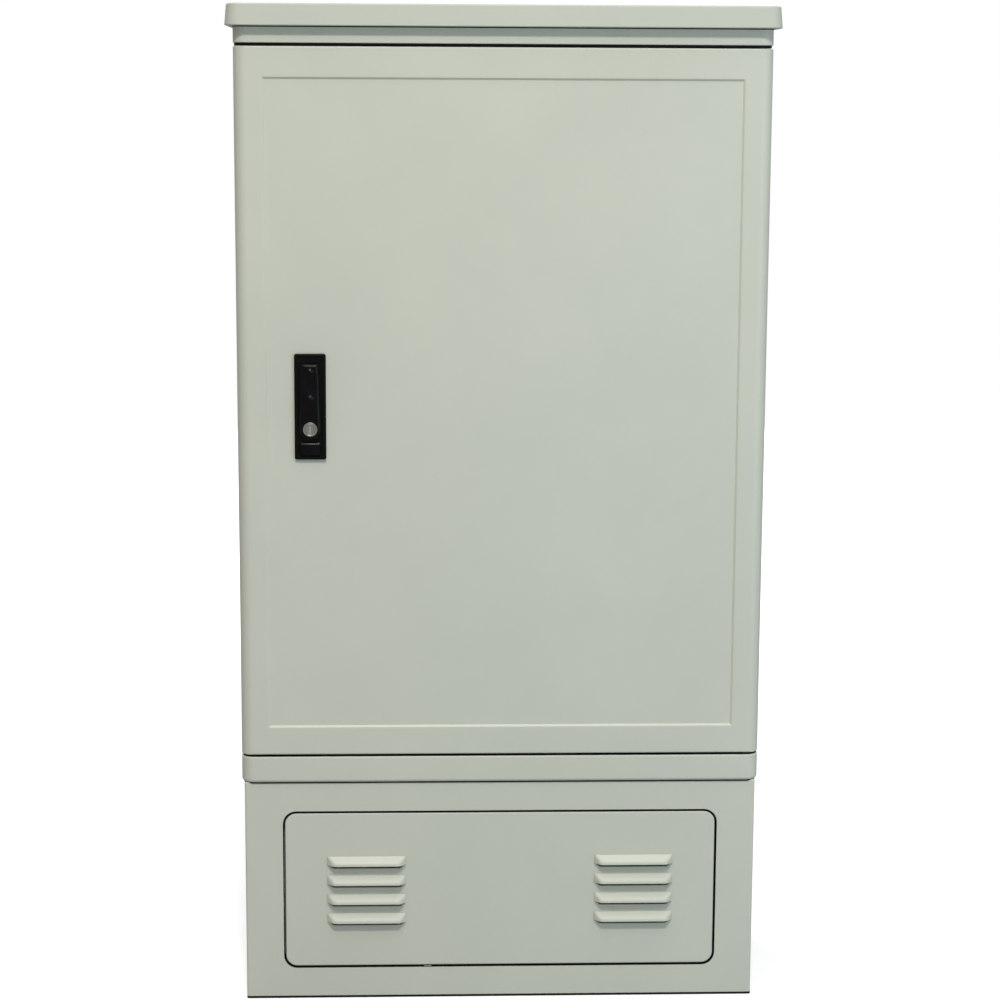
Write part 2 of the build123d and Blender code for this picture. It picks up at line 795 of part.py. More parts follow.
# Spindle: a round shaft with a rounded tongue that carries the handle's pin
with BuildPart() as lock_spindle:
    with BuildSketch(facing(plate_y)):
        with Locations((lock_x, spindle_z)):
            Circle(spindle_radius)
    extrude(amount=-(housing_rear - plate_y))
    with BuildSketch(facing(housing_rear)):
        with Locations((lock_x, spindle_z)):
            Rectangle(spindle_square, spindle_square)
    extrude(amount=-(crank_rear - housing_rear))
    with BuildSketch(Plane.YZ.offset(lock_x)):
        with Locations(((plate_y + handle_axis_y) / 2, spindle_z)):
            Rectangle(plate_y - handle_axis_y, 2 * tongue_radius)
        with Locations((handle_axis_y, spindle_z)):
            Circle(tongue_radius)
    extrude(amount=tongue_width / 2, both=True)
    with BuildSketch(Plane.YZ.offset(lock_x)):
        with Locations((handle_axis_y, spindle_z)):
            Circle(handle_pin_radius + running_gap)
    extrude(amount=tongue_width, both=True, mode=Mode.SUBTRACT)
lock_spindle.part.label = "lock_spindle"
export_step(lock_spindle.part, "parts/lock_spindle.step")

with BuildPart() as handle_pin:
    with BuildSketch(Plane.YZ.offset(lock_x)):
        with Locations((handle_axis_y, spindle_z)):
            Circle(handle_pin_radius)
    extrude(amount=handle_pin_length / 2, both=True)
handle_pin.part.label = "handle_pin"
export_step(handle_pin.part, "parts/handle_pin.step")

# Handle: a flat lever with a rounded head on the pin, a nub to pull and an eye for the key cylinder
handle_span = spindle_z - key_z + handle_end_radius + handle_tip

with BuildPart() as lock_handle:
    with BuildSketch(facing(handle_front)):
        with Locations((lock_x, spindle_z)):
            Rectangle(handle_head, handle_thickness)
        with Locations((lock_x, key_z)):
            Circle(handle_end_radius)
        with Locations((lock_x, key_z - handle_end_radius)):
            Rectangle(handle_tip_width, 2 * handle_tip)
        make_hull()
    extrude(amount=-handle_thickness)
    with BuildSketch(Plane.YZ.offset(lock_x)):
        with Locations((handle_axis_y, spindle_z)):
            Circle(handle_thickness / 2)
        with Locations((handle_axis_y, spindle_z - handle_span / 2)):
            Rectangle(handle_thickness, handle_span)
    extrude(amount=housing_width, both=True, mode=Mode.INTERSECT)
    front_face = lock_handle.faces().filter_by(Axis.Y).sort_by(Axis.Y)[0]
    chamfer(front_face.edges().sort_by(Axis.Z)[:-1], handle_round)
    with BuildSketch(facing(handle_front - nub_proud)):
        with Locations((lock_x, nub_z)):
            Rectangle(nub_width, nub_height)
    extrude(amount=-(nub_proud + handle_round))
    chamfer(lock_handle.faces().sort_by(Axis.Y)[0].edges(), nub_bevel)
    with BuildSketch(facing(handle_front)):
        with Locations((lock_x, key_z)):
            Circle(barrel_radius + running_gap)
    extrude(amount=-handle_thickness, mode=Mode.SUBTRACT)
    with BuildSketch(Plane.YZ.offset(lock_x)):
        with Locations((handle_axis_y, spindle_z)):
            Circle(tongue_radius + slot_play)
        with Locations((handle_axis_y + handle_thickness / 2, spindle_z + handle_thickness / 2)):
            Rectangle(handle_thickness, handle_thickness + 2 * (tongue_radius + slot_play))
        with Locations((handle_axis_y, spindle_z)):
            Rectangle(
                handle_thickness,
                2 * (tongue_radius + slot_play),
                rotation=lift_angle,
                align=(Align.MIN, Align.CENTER),
            )
    extrude(amount=tongue_width / 2 + slot_play, both=True, mode=Mode.SUBTRACT)
    with BuildSketch(Plane.YZ.offset(lock_x)):
        with Locations((handle_axis_y, spindle_z)):
            Circle(handle_pin_radius + running_gap)
    extrude(amount=handle_pin_length / 2 + running_gap, both=True, mode=Mode.SUBTRACT)
lock_handle.part.label = "lock_handle"
export_step(lock_handle.part, "parts/lock_handle.step")

# Key cylinder: a barrel fixed in the handle and the plug that the key turns
barrel_front = handle_front - barrel_proud

with BuildPart() as lock_barrel:
    with BuildSketch(facing(barrel_front)):
        with Locations((lock_x, key_z)):
            Circle(barrel_radius)
    extrude(amount=-(handle_thickness + barrel_proud))
    with BuildSketch(facing(barrel_front)):
        with Locations((lock_x, key_z)):
            Circle(plug_radius + running_gap)
    extrude(amount=-(plug_length + running_gap), mode=Mode.SUBTRACT)
lock_barrel.part.label = "lock_barrel"
export_step(lock_barrel.part, "parts/lock_barrel.step")

with BuildPart() as lock_plug:
    with BuildSketch(facing(barrel_front)):
        with Locations((lock_x, key_z)):
            Circle(plug_radius)
    extrude(amount=-plug_length)
    with BuildSketch(facing(barrel_front)):
        with Locations((lock_x, key_z)):
            Rectangle(keyway_width, keyway_height)
    extrude(amount=-keyway_depth, mode=Mode.SUBTRACT)
lock_plug.part.label = "lock_plug"
export_step(lock_plug.part, "parts/lock_plug.step")

# Crank: it turns with the spindle, and its two pins drive the rods
with BuildPart() as lock_crank:
    with BuildSketch(facing(crank_y)):
        with Locations((lock_x, spindle_z)):
            Rectangle(2 * (crank_radius + crank_eye), 2 * crank_hub, rotation=-crank_angle)
            Rectangle(
                spindle_square + 2 * running_gap, spindle_square + 2 * running_gap, mode=Mode.SUBTRACT
            )
    extrude(amount=-crank_plate)
    with BuildSketch(facing(crank_rear)):
        with Locations(*crank_spots):
            Circle(crank_pin_radius)
    extrude(amount=-crank_pin_length)
lock_crank.part.label = "lock_crank"
export_step(lock_crank.part, "parts/lock_crank.step")

# Rods: a slotted head on a crank pin and a round bar to the sill or the top frame
rod_head_width = slot_length + 2 * rod_border
rod_head_height = slot_height + 2 * rod_border
rod_upper_start = spindle_z - crank_rise + slot_height / 2 + rod_slack
rod_lower_start = spindle_z + crank_rise - slot_height / 2 - rod_slack

with BuildPart() as rod_upper:
    with BuildSketch(facing(rod_front)):
        with Locations((rod_upper_x, spindle_z - crank_rise)):
            Rectangle(rod_head_width, rod_head_height)
            SlotOverall(slot_length, slot_height, mode=Mode.SUBTRACT)
    extrude(amount=-rod_plate)
    with BuildSketch(level(rod_upper_start)):
        with Locations((rod_upper_x, rod_y)):
            Circle(rod_radius)
    extrude(amount=door_top - rod_rest - rod_upper_start)
rod_upper.part.label = "rod_upper"
export_step(rod_upper.part, "parts/rod_upper.step")

with BuildPart() as rod_lower:
    with BuildSketch(facing(rod_front)):
        with Locations((rod_lower_x, spindle_z + crank_rise)):
            Rectangle(rod_head_width, rod_head_height)
            SlotOverall(slot_length, slot_height, mode=Mode.SUBTRACT)
    extrude(amount=-rod_plate)
    with BuildSketch(level(rod_lower_start)):
        with Locations((rod_lower_x, rod_y)):
            Circle(rod_radius)
    extrude(amount=door_bottom + rod_rest - rod_lower_start)
rod_lower.part.label = "rod_lower"
export_step(rod_lower.part, "parts/rod_lower.step")

# Rod guides: an angle on the door's lining for each rod
guide_arm = rod_y + rod_radius + rod_border - lining_y

with BuildPart() as rod_guides:
    for guide_x, guide_z in ((rod_upper_x, guide_upper_z), (rod_lower_x, guide_lower_z)):
        with BuildSketch(facing(lining_y)):
            with Locations((guide_x, guide_z)):
                Rectangle(guide_width, guide_height)
        extrude(amount=-guide_sheet)
        with BuildSketch(level(guide_z - guide_sheet / 2)):
            with Locations((guide_x, lining_y + guide_arm / 2)):
                Rectangle(guide_width, guide_arm)
            with Locations((guide_x, rod_y)):
                Rectangle(2 * (rod_radius + seat_gap), 2 * (rod_radius + seat_gap), mode=Mode.SUBTRACT)
        extrude(amount=guide_sheet)
rod_guides.part.label = "rod_guides"
export_step(rod_guides.part, "parts/rod_guides.step")

# Document pocket on the door's lining, open at the top
with BuildPart() as document_pocket:
    with BuildSketch(facing(lining_y)):
        with Locations((pocket_x, pocket_z)):
            Rectangle(pocket_width, pocket_height)
    extrude(amount=-pocket_depth)
    with BuildSketch(facing(lining_y + pocket_wall)):
        with Locations((pocket_x, pocket_z + pocket_wall)):
            Rectangle(pocket_width - 2 * pocket_wall, pocket_height)
    extrude(amount=-(pocket_depth - 2 * pocket_wall), mode=Mode.SUBTRACT)
document_pocket.part.label = "document_pocket"
export_step(document_pocket.part, "parts/document_pocket.step")

# Entry plate on the sill, and the blind grommets that close its cable holes
entry_spots = [((spot - (entry_count - 1) / 2) * entry_pitch, entry_y) for spot in range(entry_count)]

with BuildPart() as entry_plate:
    with BuildSketch(level(deck_z)):
        with Locations((0, entry_y)):
            Rectangle(entry_width, entry_depth)
        with Locations(*entry_spots):
            RegularPolygon(entry_radius, round_sides, mode=Mode.SUBTRACT)
    extrude(amount=entry_sheet)
entry_plate.part.label = "entry_plate"
export_step(entry_plate.part, "parts/entry_plate.step")

with BuildPart() as cable_grommets:
    with BuildSketch(level(entry_z)):
        with Locations(*entry_spots):
            RegularPolygon(grommet_flange, round_sides)
    extrude(amount=grommet_lip)
    with BuildSketch(level(entry_z)):
        with Locations(*entry_spots):
            RegularPolygon(entry_radius - seat_gap, round_sides)
    extrude(amount=-(entry_sheet + grommet_lip))
cable_grommets.part.label = "cable_grommets"
export_step(cable_grommets.part, "parts/cable_grommets.step")

# Rack: three uprights between the entry plate and the top frame
upright_height = head_z - entry_z

with BuildPart() as upright_left:
    with BuildSketch(level(entry_z)):
        upright_plan(upright_left_x)
    extrude(amount=upright_height)
upright_left.part.label = "upright_left"
export_step(upright_left.part, "parts/upright_left.step")

with BuildPart() as upright_middle:
    with BuildSketch(level(entry_z)):
        upright_plan(upright_middle_x)
    extrude(amount=upright_height)
upright_middle.part.label = "upright_middle"
export_step(upright_middle.part, "parts/upright_middle.step")

with BuildPart() as upright_right:
    with BuildSketch(level(entry_z)):
        upright_plan(upright_right_x)
    extrude(amount=upright_height)
upright_right.part.label = "upright_right"
export_step(upright_right.part, "parts/upright_right.step")

# Modules: an open sheet box, a pin down its front left corner and a stack of trays on it
tray_left = module_left + module_sheet + tray_side_play
tray_right = module_right - module_sheet - tray_side_play
tray_width = tray_right - tray_left
tray_x = (tray_left + tray_right) / 2
tray_front = module_front + tray_setback
tray_back = rack_y - module_sheet - tray_back_play
tray_depth = tray_back - tray_front
adapter_count = int((tray_width - 2 * adapter_side) / adapter_pitch)
hub_x = tray_left + hub_size / 2
hub_y = tray_front + hub_size / 2
jaw_gap = 2 * (tray_pin_radius + seat_gap)

for place, module_z in (("lower", module_lower_z), ("upper", module_upper_z)):
    with BuildPart() as module_frame:
        with BuildSketch(facing(module_front)):
            with Locations((module_x, module_z + module_height / 2)):
                Rectangle(module_width, module_height)
        extrude(amount=-module_depth)
        with BuildSketch(facing(module_front)):
            with Locations((module_x, module_z + module_height / 2)):
                Rectangle(module_width - 2 * module_sheet, module_height - 2 * module_sheet)
        extrude(amount=module_sheet - module_depth, mode=Mode.SUBTRACT)
    module_frame.part.label = f"module_frame_{place}"
    export_step(module_frame.part, f"parts/module_frame_{place}.step")

    with BuildPart() as tray_pin:
        with BuildSketch(level(module_z + module_sheet)):
            with Locations((hub_x, hub_y)):
                Circle(tray_pin_radius)
        extrude(amount=module_height - 2 * module_sheet)
    tray_pin.part.label = f"tray_pin_{place}"
    export_step(tray_pin.part, f"parts/tray_pin_{place}.step")

    for number in range(tray_count):
        tray_z = module_z + module_sheet + number * tray_pitch
        with BuildPart() as tray:
            with BuildSketch(level(tray_z)):
                with Locations((tray_x, (tray_front + tray_back) / 2)):
                    Rectangle(tray_width, tray_depth)
            extrude(amount=tray_height)
            with BuildSketch(level(tray_z)):
                with Locations((hub_x, hub_y)):
                    Rectangle(hub_size, hub_size)
            extrude(amount=tray_pitch)
            with BuildSketch(facing(tray_front)):
                with Locations((tray_x + adapter_shift, tray_z + tray_height / 2)):
                    with GridLocations(adapter_pitch, 0, adapter_count, 1):
                        Rectangle(adapter_width, adapter_height)
            extrude(amount=adapter_reach)
            with BuildSketch(level(tray_z)):
                with Locations((hub_x - hub_size / 2, hub_y)):
                    Rectangle(hub_size + jaw_gap, jaw_gap)
            extrude(amount=tray_pitch, mode=Mode.SUBTRACT)
        tray.part.label = f"tray_{place}_{number + 1}"
        export_step(tray.part, f"parts/tray_{place}_{number + 1}.step")

# Fibre store: a plate between two uprights with a column of spools
store_z = module_lower_z + store_height / 2

with BuildPart() as store_plate:
    with BuildSketch(facing(rack_y)):
        with Locations((store_x, store_z)):
            Rectangle(store_width, store_height)
    extrude(amount=store_sheet)
store_plate.part.label = "store_plate"
export_step(store_plate.part, "parts/store_plate.step")

spool_foot = rack_y - store_sheet
spool_spots = [(store_x, store_z + (spot - (spool_count - 1) / 2) * spool_pitch) for spot in range(spool_count)]

with BuildPart() as store_spools:
    with BuildSketch(facing(spool_foot)):
        with Locations(*spool_spots):
            RegularPolygon(spool_radius, round_sides)
    extrude(amount=spool_length)
    with BuildSketch(facing(spool_foot - spool_length)):
        with Locations(*spool_spots):
            RegularPolygon(spool_flange, round_sides)
    extrude(amount=spool_lip)
store_spools.part.label = "store_spools"
export_step(store_spools.part, "parts/store_spools.step")

# Cable clamps: saddles on an angle bar across the uprights
with BuildPart() as clamp_bar:
    with BuildSketch(facing(rack_y)):
        with Locations((bar_x, clamp_bar_z)):
            Rectangle(bar_width, clamp_bar_height)
    extrude(amount=clamp_bar_sheet)
    with BuildSketch(facing(rack_y)):
        with Locations((bar_x, clamp_bar_z - (clamp_bar_height - clamp_bar_sheet) / 2)):
            Rectangle(bar_width, clamp_bar_sheet)
    extrude(amount=clamp_bar_depth)
clamp_bar.part.label = "clamp_bar"
export_step(clamp_bar.part, "parts/clamp_bar.step")

saddle_back = rack_y - clamp_bar_sheet
saddle_z = clamp_bar_z - clamp_bar_height / 2 + clamp_bar_sheet

with BuildPart() as cable_clamps:
    with BuildSketch(level(saddle_z)):
        with Locations(*[(x, saddle_back - saddle_depth / 2) for x, y in entry_spots]):
            Rectangle(saddle_width, saddle_depth)
        with Locations(*[(x, saddle_back - saddle_depth) for x, y in entry_spots]):
            Rectangle(saddle_notch, saddle_notch, rotation=saddle_angle, mode=Mode.SUBTRACT)
    extrude(amount=saddle_height)
cable_clamps.part.label = "cable_clamps"
export_step(cable_clamps.part, "parts/cable_clamps.step")

# Earth bar on two insulators
with BuildPart() as earth_insulators:
    with BuildSketch(facing(rack_y)):
        with Locations((upright_left_x, earth_z), (upright_middle_x, earth_z)):
            RegularPolygon(insulator_radius, insulator_sides)
    extrude(amount=insulator_length)
earth_insulators.part.label = "earth_insulators"
export_step(earth_insulators.part, "parts/earth_insulators.step")

with BuildPart() as earth_bar:
    with BuildSketch(facing(rack_y - insulator_length)):
        with Locations((earth_x, earth_z)):
            Rectangle(earth_width, earth_height)
    extrude(amount=earth_thickness)
earth_bar.part.label = "earth_bar"
export_step(earth_bar.part, "parts/earth_bar.step")
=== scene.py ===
# %% [markdown]
# # A roadside fibre cabinet, dressed for its picture
# The CAD model of the cabinet comes in as a fixed frame. Each cell below adds one visible
# piece or finish to it: the moulded shell first, then the lock, then what shows once the
# door stands open. Shapes are worked out as whole numpy arrays in the CAD's own axes: X to
# the right seen from the door, Y from the door to the back, Z up. Sizes of the cabinet are
# written in millimetres and become metres when a shape gets its points. Camera, floor and
# lamps are placed in metres.

import json

import bpy
import numpy as np
from mathutils import Matrix, Vector


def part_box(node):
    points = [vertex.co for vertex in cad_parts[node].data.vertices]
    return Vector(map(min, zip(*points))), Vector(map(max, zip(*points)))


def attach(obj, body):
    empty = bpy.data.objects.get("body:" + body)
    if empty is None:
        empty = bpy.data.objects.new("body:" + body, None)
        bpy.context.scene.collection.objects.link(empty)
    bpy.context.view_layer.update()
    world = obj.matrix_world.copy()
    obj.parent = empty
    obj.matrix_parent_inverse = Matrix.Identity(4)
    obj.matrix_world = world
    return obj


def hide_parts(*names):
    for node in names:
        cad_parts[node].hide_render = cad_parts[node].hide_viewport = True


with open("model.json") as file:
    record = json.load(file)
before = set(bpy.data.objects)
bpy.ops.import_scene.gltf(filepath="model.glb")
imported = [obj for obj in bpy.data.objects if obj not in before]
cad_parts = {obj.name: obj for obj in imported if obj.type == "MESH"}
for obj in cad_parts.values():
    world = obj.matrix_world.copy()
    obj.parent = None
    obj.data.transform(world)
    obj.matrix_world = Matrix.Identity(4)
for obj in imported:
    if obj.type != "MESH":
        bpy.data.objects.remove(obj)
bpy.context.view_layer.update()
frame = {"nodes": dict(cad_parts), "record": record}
MM = 0.001


def node_box(name):
    """Lowest and highest corner of a CAD node, in millimetres."""
    low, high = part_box(name)
    return np.array(low) / MM, np.array(high) / MM


def middle_of(name):
    """Middle of a CAD node's box, in millimetres."""
    return np.mean(node_box(name), axis=0)


def plan_of(name):
    """A CAD node's outline from above, in millimetres: left, right, front and back."""
    low, high = node_box(name)
    return np.array([low[0], high[0], low[1], high[1]])


def front_of(name):
    """A CAD node's outline from the door, in millimetres: left, right, foot and top."""
    low, high = node_box(name)
    return np.array([low[0], high[0], low[2], high[2]])


# %% [markdown]
# ## Camera
# The viewpoint is where the picture was taken from: a little left of the middle, at about
# roof height, looking down by some ten degrees through a long lens. A camera looks along
# its own -Z, so its three axes are written straight into the matrix.

# %% Set the camera
pitch, yaw, roll = np.radians([9.53, 2.21, 0.29])
camera_spot = (-0.133, -3.520, 1.307)
forward = np.array([np.sin(yaw) * np.cos(pitch), np.cos(yaw) * np.cos(pitch), -np.sin(pitch)])
level_right = np.array([np.cos(yaw), -np.sin(yaw), 0.0])
level_up = np.cross(level_right, forward)
right = np.cos(roll) * level_right + np.sin(roll) * level_up
up = np.cos(roll) * level_up - np.sin(roll) * level_right

lens = bpy.data.cameras.new("picture_camera")
lens.sensor_fit = "HORIZONTAL"
lens.sensor_width = 36.0
lens.lens = 86.3
camera = bpy.data.objects.new("picture_camera", lens)
turn = Matrix((right, up, -forward)).transposed().to_4x4()
camera.matrix_world = Matrix.Translation(camera_spot) @ turn
bpy.context.collection.objects.link(camera)
bpy.context.scene.camera = camera
print("camera at", tuple(round(v, 3) for v in camera.location))

# %% [markdown]
# ## Loops and skins
# Nearly every shell piece is a stack of rounded rectangles: a roof cap is a stack along Z, a
# door is a stack along Y. One function draws the loops of all rows at once and a second
# joins them into quads, so a piece is a function of two parameters: how far round the loop,
# and how far along the stack. Four sets of axes say which way a stack runs.

# %% Draw loops, join them into a skin
PLAN = ((1, 0, 0), (0, 1, 0), (0, 0, 1))
FACING = ((1, 0, 0), (0, 0, 1), (0, 1, 0))
OUTWARD = ((1, 0, 0), (0, 0, 1), (0, -1, 0))
ACROSS = ((0, 1, 0), (0, 0, 1), (1, 0, 0))


def rounded_loops(low_a, high_a, low_b, high_b, radius, steps=6):
    """One rounded rectangle per row, as an array of rows, points and 2.

    Every corner is a quarter circle whose centre lies one radius in from both of its sides:
    a = centre + radius times cosine of the angle, b = centre + radius times its sine.
    """
    given = (low_a, high_a, low_b, high_b, radius)
    sizes = np.broadcast_arrays(*(np.atleast_1d(np.asarray(v, float)) for v in given))
    low_a, high_a, low_b, high_b, radius = (v[:, None] for v in sizes)
    quarter = np.repeat(np.arange(4), steps + 1)
    angle = np.tile(np.linspace(0, np.pi / 2, steps + 1), 4) + quarter * np.pi / 2
    centre_a = np.where(np.isin(quarter, (0, 3)), high_a - radius, low_a + radius)
    centre_b = np.where(quarter < 2, high_b - radius, low_b + radius)
    return np.stack([centre_a + radius * np.cos(angle), centre_b + radius * np.sin(angle)], axis=-1)


def skin(loops, heights, axes, ring=False):
    """Points, in metres, and faces of the surface through a stack of loops in millimetres.

    A point is a along the first axis, b along the second and its row's height along the
    third. Row j and row j + 1 are joined by quads. A ring joins its last row to its first;
    any other skin closes each end with one flat face. Axes that mirror turn the faces round.
    """
    axes = np.asarray(axes, float)
    rows, count = loops.shape[:2]
    levels = np.broadcast_to(np.asarray(heights, float)[:, None, None], (rows, count, 1))
    points = np.concatenate([loops, levels], axis=2).reshape(-1, 3) @ axes * MM
    index = np.arange(rows * count).reshape(rows, count)
    lower, upper = (index, np.roll(index, -1, axis=0)) if ring else (index[:-1], index[1:])
    corners = [lower, np.roll(lower, -1, axis=1), np.roll(upper, -1, axis=1), upper]
    quads = np.stack(corners, axis=-1).reshape(-1, 4)
    faces = [quads] if ring else [quads, np.stack([index[0, ::-1], index[-1]])]
    mirrored = np.linalg.det(axes) < 0
    return points, [kind[:, ::-1] if mirrored else kind for kind in faces]


print("a loop has", rounded_loops(0, 1, 0, 1, 0.1).shape[1], "points")

# %% [markdown]
# ## From shape to piece
# A shape is only points and faces. Here it becomes a mesh at the origin, rides on the CAD body
# that carries it, and takes the place of the CAD nodes that it stands for. Holes are cut by a
# boolean whose result is kept as the mesh, so nothing is left to work out at render time.

# %% Make, settle and cut pieces
CREASE = 35


def mesh_of(name, shape):
    """A mesh from a shape: points, and one array of faces for each number of corners."""
    points, faces = shape
    mesh = bpy.data.meshes.new(name)
    mesh.from_pydata(points, [], [face for kind in faces for face in kind.tolist()])
    return mesh


def put(name, shape, material, sharp=CREASE):
    """Make one mesh object at the origin from a shape, smooth but for edges over sharp degrees."""
    mesh = mesh_of(name, shape)
    mesh.polygons.foreach_set("use_smooth", np.ones(len(mesh.polygons), bool))
    mesh.set_sharp_from_angle(angle=np.radians(sharp))
    mesh.materials.append(material)
    piece = bpy.data.objects.new(name, mesh)
    bpy.context.collection.objects.link(piece)
    return piece


def settle(piece, body, slot, *nodes):
    """Give a finished piece its CAD body and the CAD nodes that it stands for. The slot is not used."""
    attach(piece, body)
    if nodes:
        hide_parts(*nodes)
    print(piece.name, "rides on", body, "with", len(piece.data.polygons), "faces")
    return piece


def cut(piece, *cutters):
    """Take closed shapes out of a closed piece, and keep the result as its mesh."""
    tools = []
    for shape in cutters:
        tool = bpy.data.objects.new("cutter", mesh_of("cutter", shape))
        bpy.context.collection.objects.link(tool)
        step = piece.modifiers.new("cut", "BOOLEAN")
        step.object, step.operation, step.solver = tool, "DIFFERENCE", "EXACT"
        tools.append(tool)
    bpy.context.view_layer.update()
    graph = bpy.context.evaluated_depsgraph_get()
    mesh = bpy.data.meshes.new_from_object(piece.evaluated_get(graph))
    piece.modifiers.clear()
    piece.data = mesh
    mesh.set_sharp_from_angle(angle=np.radians(CREASE))
    for tool in tools:
        bpy.data.objects.remove(tool)
    return piece


def even_normals(piece):
    """Let each vertex follow its largest face, so that flats stay flat up to their rounded edges."""
    piece.modifiers.new("even_normals", "WEIGHTED_NORMAL").keep_sharp = True
    return piece


print("edges over", CREASE, "degrees stay sharp")

# %% [markdown]
# ## Bars
# Straight and round bars are the simplest stacks: two loops with the same outline. They serve
# as cutters for holes and as small pieces. A cutter reaches past both faces of what it cuts,
# because two faces in one plane confuse a boolean.

# %% Draw bars
THROUGH = 5.0


def block(low, high, radius, axes=PLAN, steps=4):
    """A straight bar between two corners, with its edges along the third axis rounded."""
    sizes = (low[0], high[0], low[1], high[1], radius)
    loops = rounded_loops(*(np.full(2, v) for v in sizes), steps=steps)
    return skin(loops, (low[2], high[2]), axes)


def bar(centre, half, levels, radius, axes=PLAN, steps=4):
    """A straight bar about a centre, half wide to each side, between two levels."""
    centre, half = np.asarray(centre, float), np.asarray(half, float)
    return block((*(centre - half), levels[0]), (*(centre + half), levels[1]), radius, axes, steps)


def round_bar(centre, radius, levels, axes=PLAN, steps=8):
    """A round bar: a square one whose corners are rounded by all but a trace of its half width."""
    return bar(centre, radius, levels, radius * 0.9999, axes, steps)


def past(low, high):
    """Two levels for a cutter that runs right through from low to high and a little past both."""
    return low - THROUGH, high + THROUGH


def shifted(shape, offset):
    """The same shape moved by an offset in millimetres."""
    return shape[0] + np.asarray(offset) * MM, shape[1]


print("cutters reach", THROUGH, "mm past what they cut")

# %% [markdown]
# ## Finishes
# Effects that several materials share are node groups: a fine mottle for moulded plastic, a
# stretched grain for metal, and settled dust. A group hands out colours, values and heights
# only. The shader itself, with every constant value, stays in each material. First come short
# helpers that add a node and feed it, since node trees are long-winded to write.

# %% Add and feed shader nodes
def feed(tree, socket, value):
    """Link a socket to another socket, or give it a plain value."""
    if isinstance(value, bpy.types.NodeSocket):
        tree.links.new(value, socket)
    else:
        socket.default_value = value


def add(tree, kind, settings=(), **links):
    """Add a node, set its properties, and feed its inputs, by name, from values or other sockets."""
    node = tree.nodes.new(kind)
    for key, value in dict(settings).items():
        setattr(node, key, value)
    for label, value in links.items():
        name = label.replace("_", " ")
        feed(tree, next(s for s in node.inputs if s.name == name and s.enabled), value)
    return node


def work_out(tree, kind, operation, *values):
    """Add a node that calculates, feed its inputs in order, and return its result's socket."""
    node = add(tree, kind, {"operation": operation})
    for socket, value in zip(node.inputs, values):
        feed(tree, socket, value)
    return node.outputs[0]


def blend_colours(tree, factor, first, second):
    """Mix two colours by a factor and return the result's socket.

    The node has sockets of the same name for every kind of value, so these go by number.
    """
    mix = add(tree, "ShaderNodeMix", {"data_type": "RGBA"})
    for place, value in ((0, factor), (6, first), (7, second)):
        feed(tree, mix.inputs[place], value)
    return mix.outputs[2]


def spread(tree, value, low, high, to_low=0.0, to_high=1.0):
    """Map a value's range onto another one, clamped."""
    ranged = add(tree, "ShaderNodeMapRange", Value=value)
    for place, number in ((1, low), (2, high), (3, to_low), (4, to_high)):
        feed(tree, ranged.inputs[place], number)
    return ranged.outputs[0]


def noise(tree, place, scale, detail, **more):
    """The value of a noise texture at a place."""
    return add(tree, "ShaderNodeTexNoise", Vector=place, Scale=scale, Detail=detail, **more).outputs[0]


def effect(name, inputs, outputs):
    """Start a node group with these sockets; its own nodes are added by the caller."""
    group = bpy.data.node_groups.new(name, "ShaderNodeTree")
    kinds = {"colour": "NodeSocketColor", "value": "NodeSocketFloat"}
    for label, kind, default in inputs:
        socket = group.interface.new_socket(label, in_out="INPUT", socket_type=kinds[kind])
        socket.default_value = default
    for label, kind in outputs:
        group.interface.new_socket(label, in_out="OUTPUT", socket_type=kinds[kind])
    return group, group.nodes.new("NodeGroupInput"), group.nodes.new("NodeGroupOutput")


def hand_out(tree, start, end, tone, wear, height):
    """Feed a group's outputs: a colour between its tones, a roughness that follows wear, a height."""
    colour = blend_colours(tree, tone, start.outputs["Dark tone"], start.outputs["Light tone"])
    smooth, rough = start.outputs["Low roughness"], start.outputs["High roughness"]
    roughness = spread(tree, wear, 0.3, 0.7, smooth, rough)
    for label, socket in (("Colour", colour), ("Roughness", roughness), ("Height", height)):
        tree.links.new(socket, end.inputs[label])


# %% [markdown]
# ## Shared effects
# The mottle is a broad cloud with fine flecks in it, as resin and filler set unevenly. The
# grain is noise drawn out along Z, as rolls leave it on sheet. Dust lies on faces that look
# up, in specks. All three read Object coordinates, so that a pattern stays put on its piece.

# %% Build the shared effects
TONES = [("Light tone", "colour", (1, 1, 1, 1)), ("Dark tone", "colour", (0, 0, 0, 1))]
SURFACE = [("Colour", "colour"), ("Roughness", "value"), ("Height", "value")]

mottle, start, end = effect(
    "moulded_mottle",
    [*TONES, ("Scale", "value", 12.0), ("Low roughness", "value", 0.4),
     ("High roughness", "value", 0.5), ("Peel scale", "value", 700.0)],
    SURFACE,
)
place = add(mottle, "ShaderNodeTexCoord").outputs["Object"]
cloud = noise(mottle, place, start.outputs["Scale"], 6.0, Roughness=0.6)
fleck = noise(mottle, place, 420.0, 3.0)
peel = noise(mottle, place, start.outputs["Peel scale"], 2.0)
shade = work_out(mottle, "ShaderNodeMath", "MULTIPLY_ADD", fleck, 0.35, cloud)
hand_out(mottle, start, end, spread(mottle, shade, 0.42, 0.92), cloud, peel)

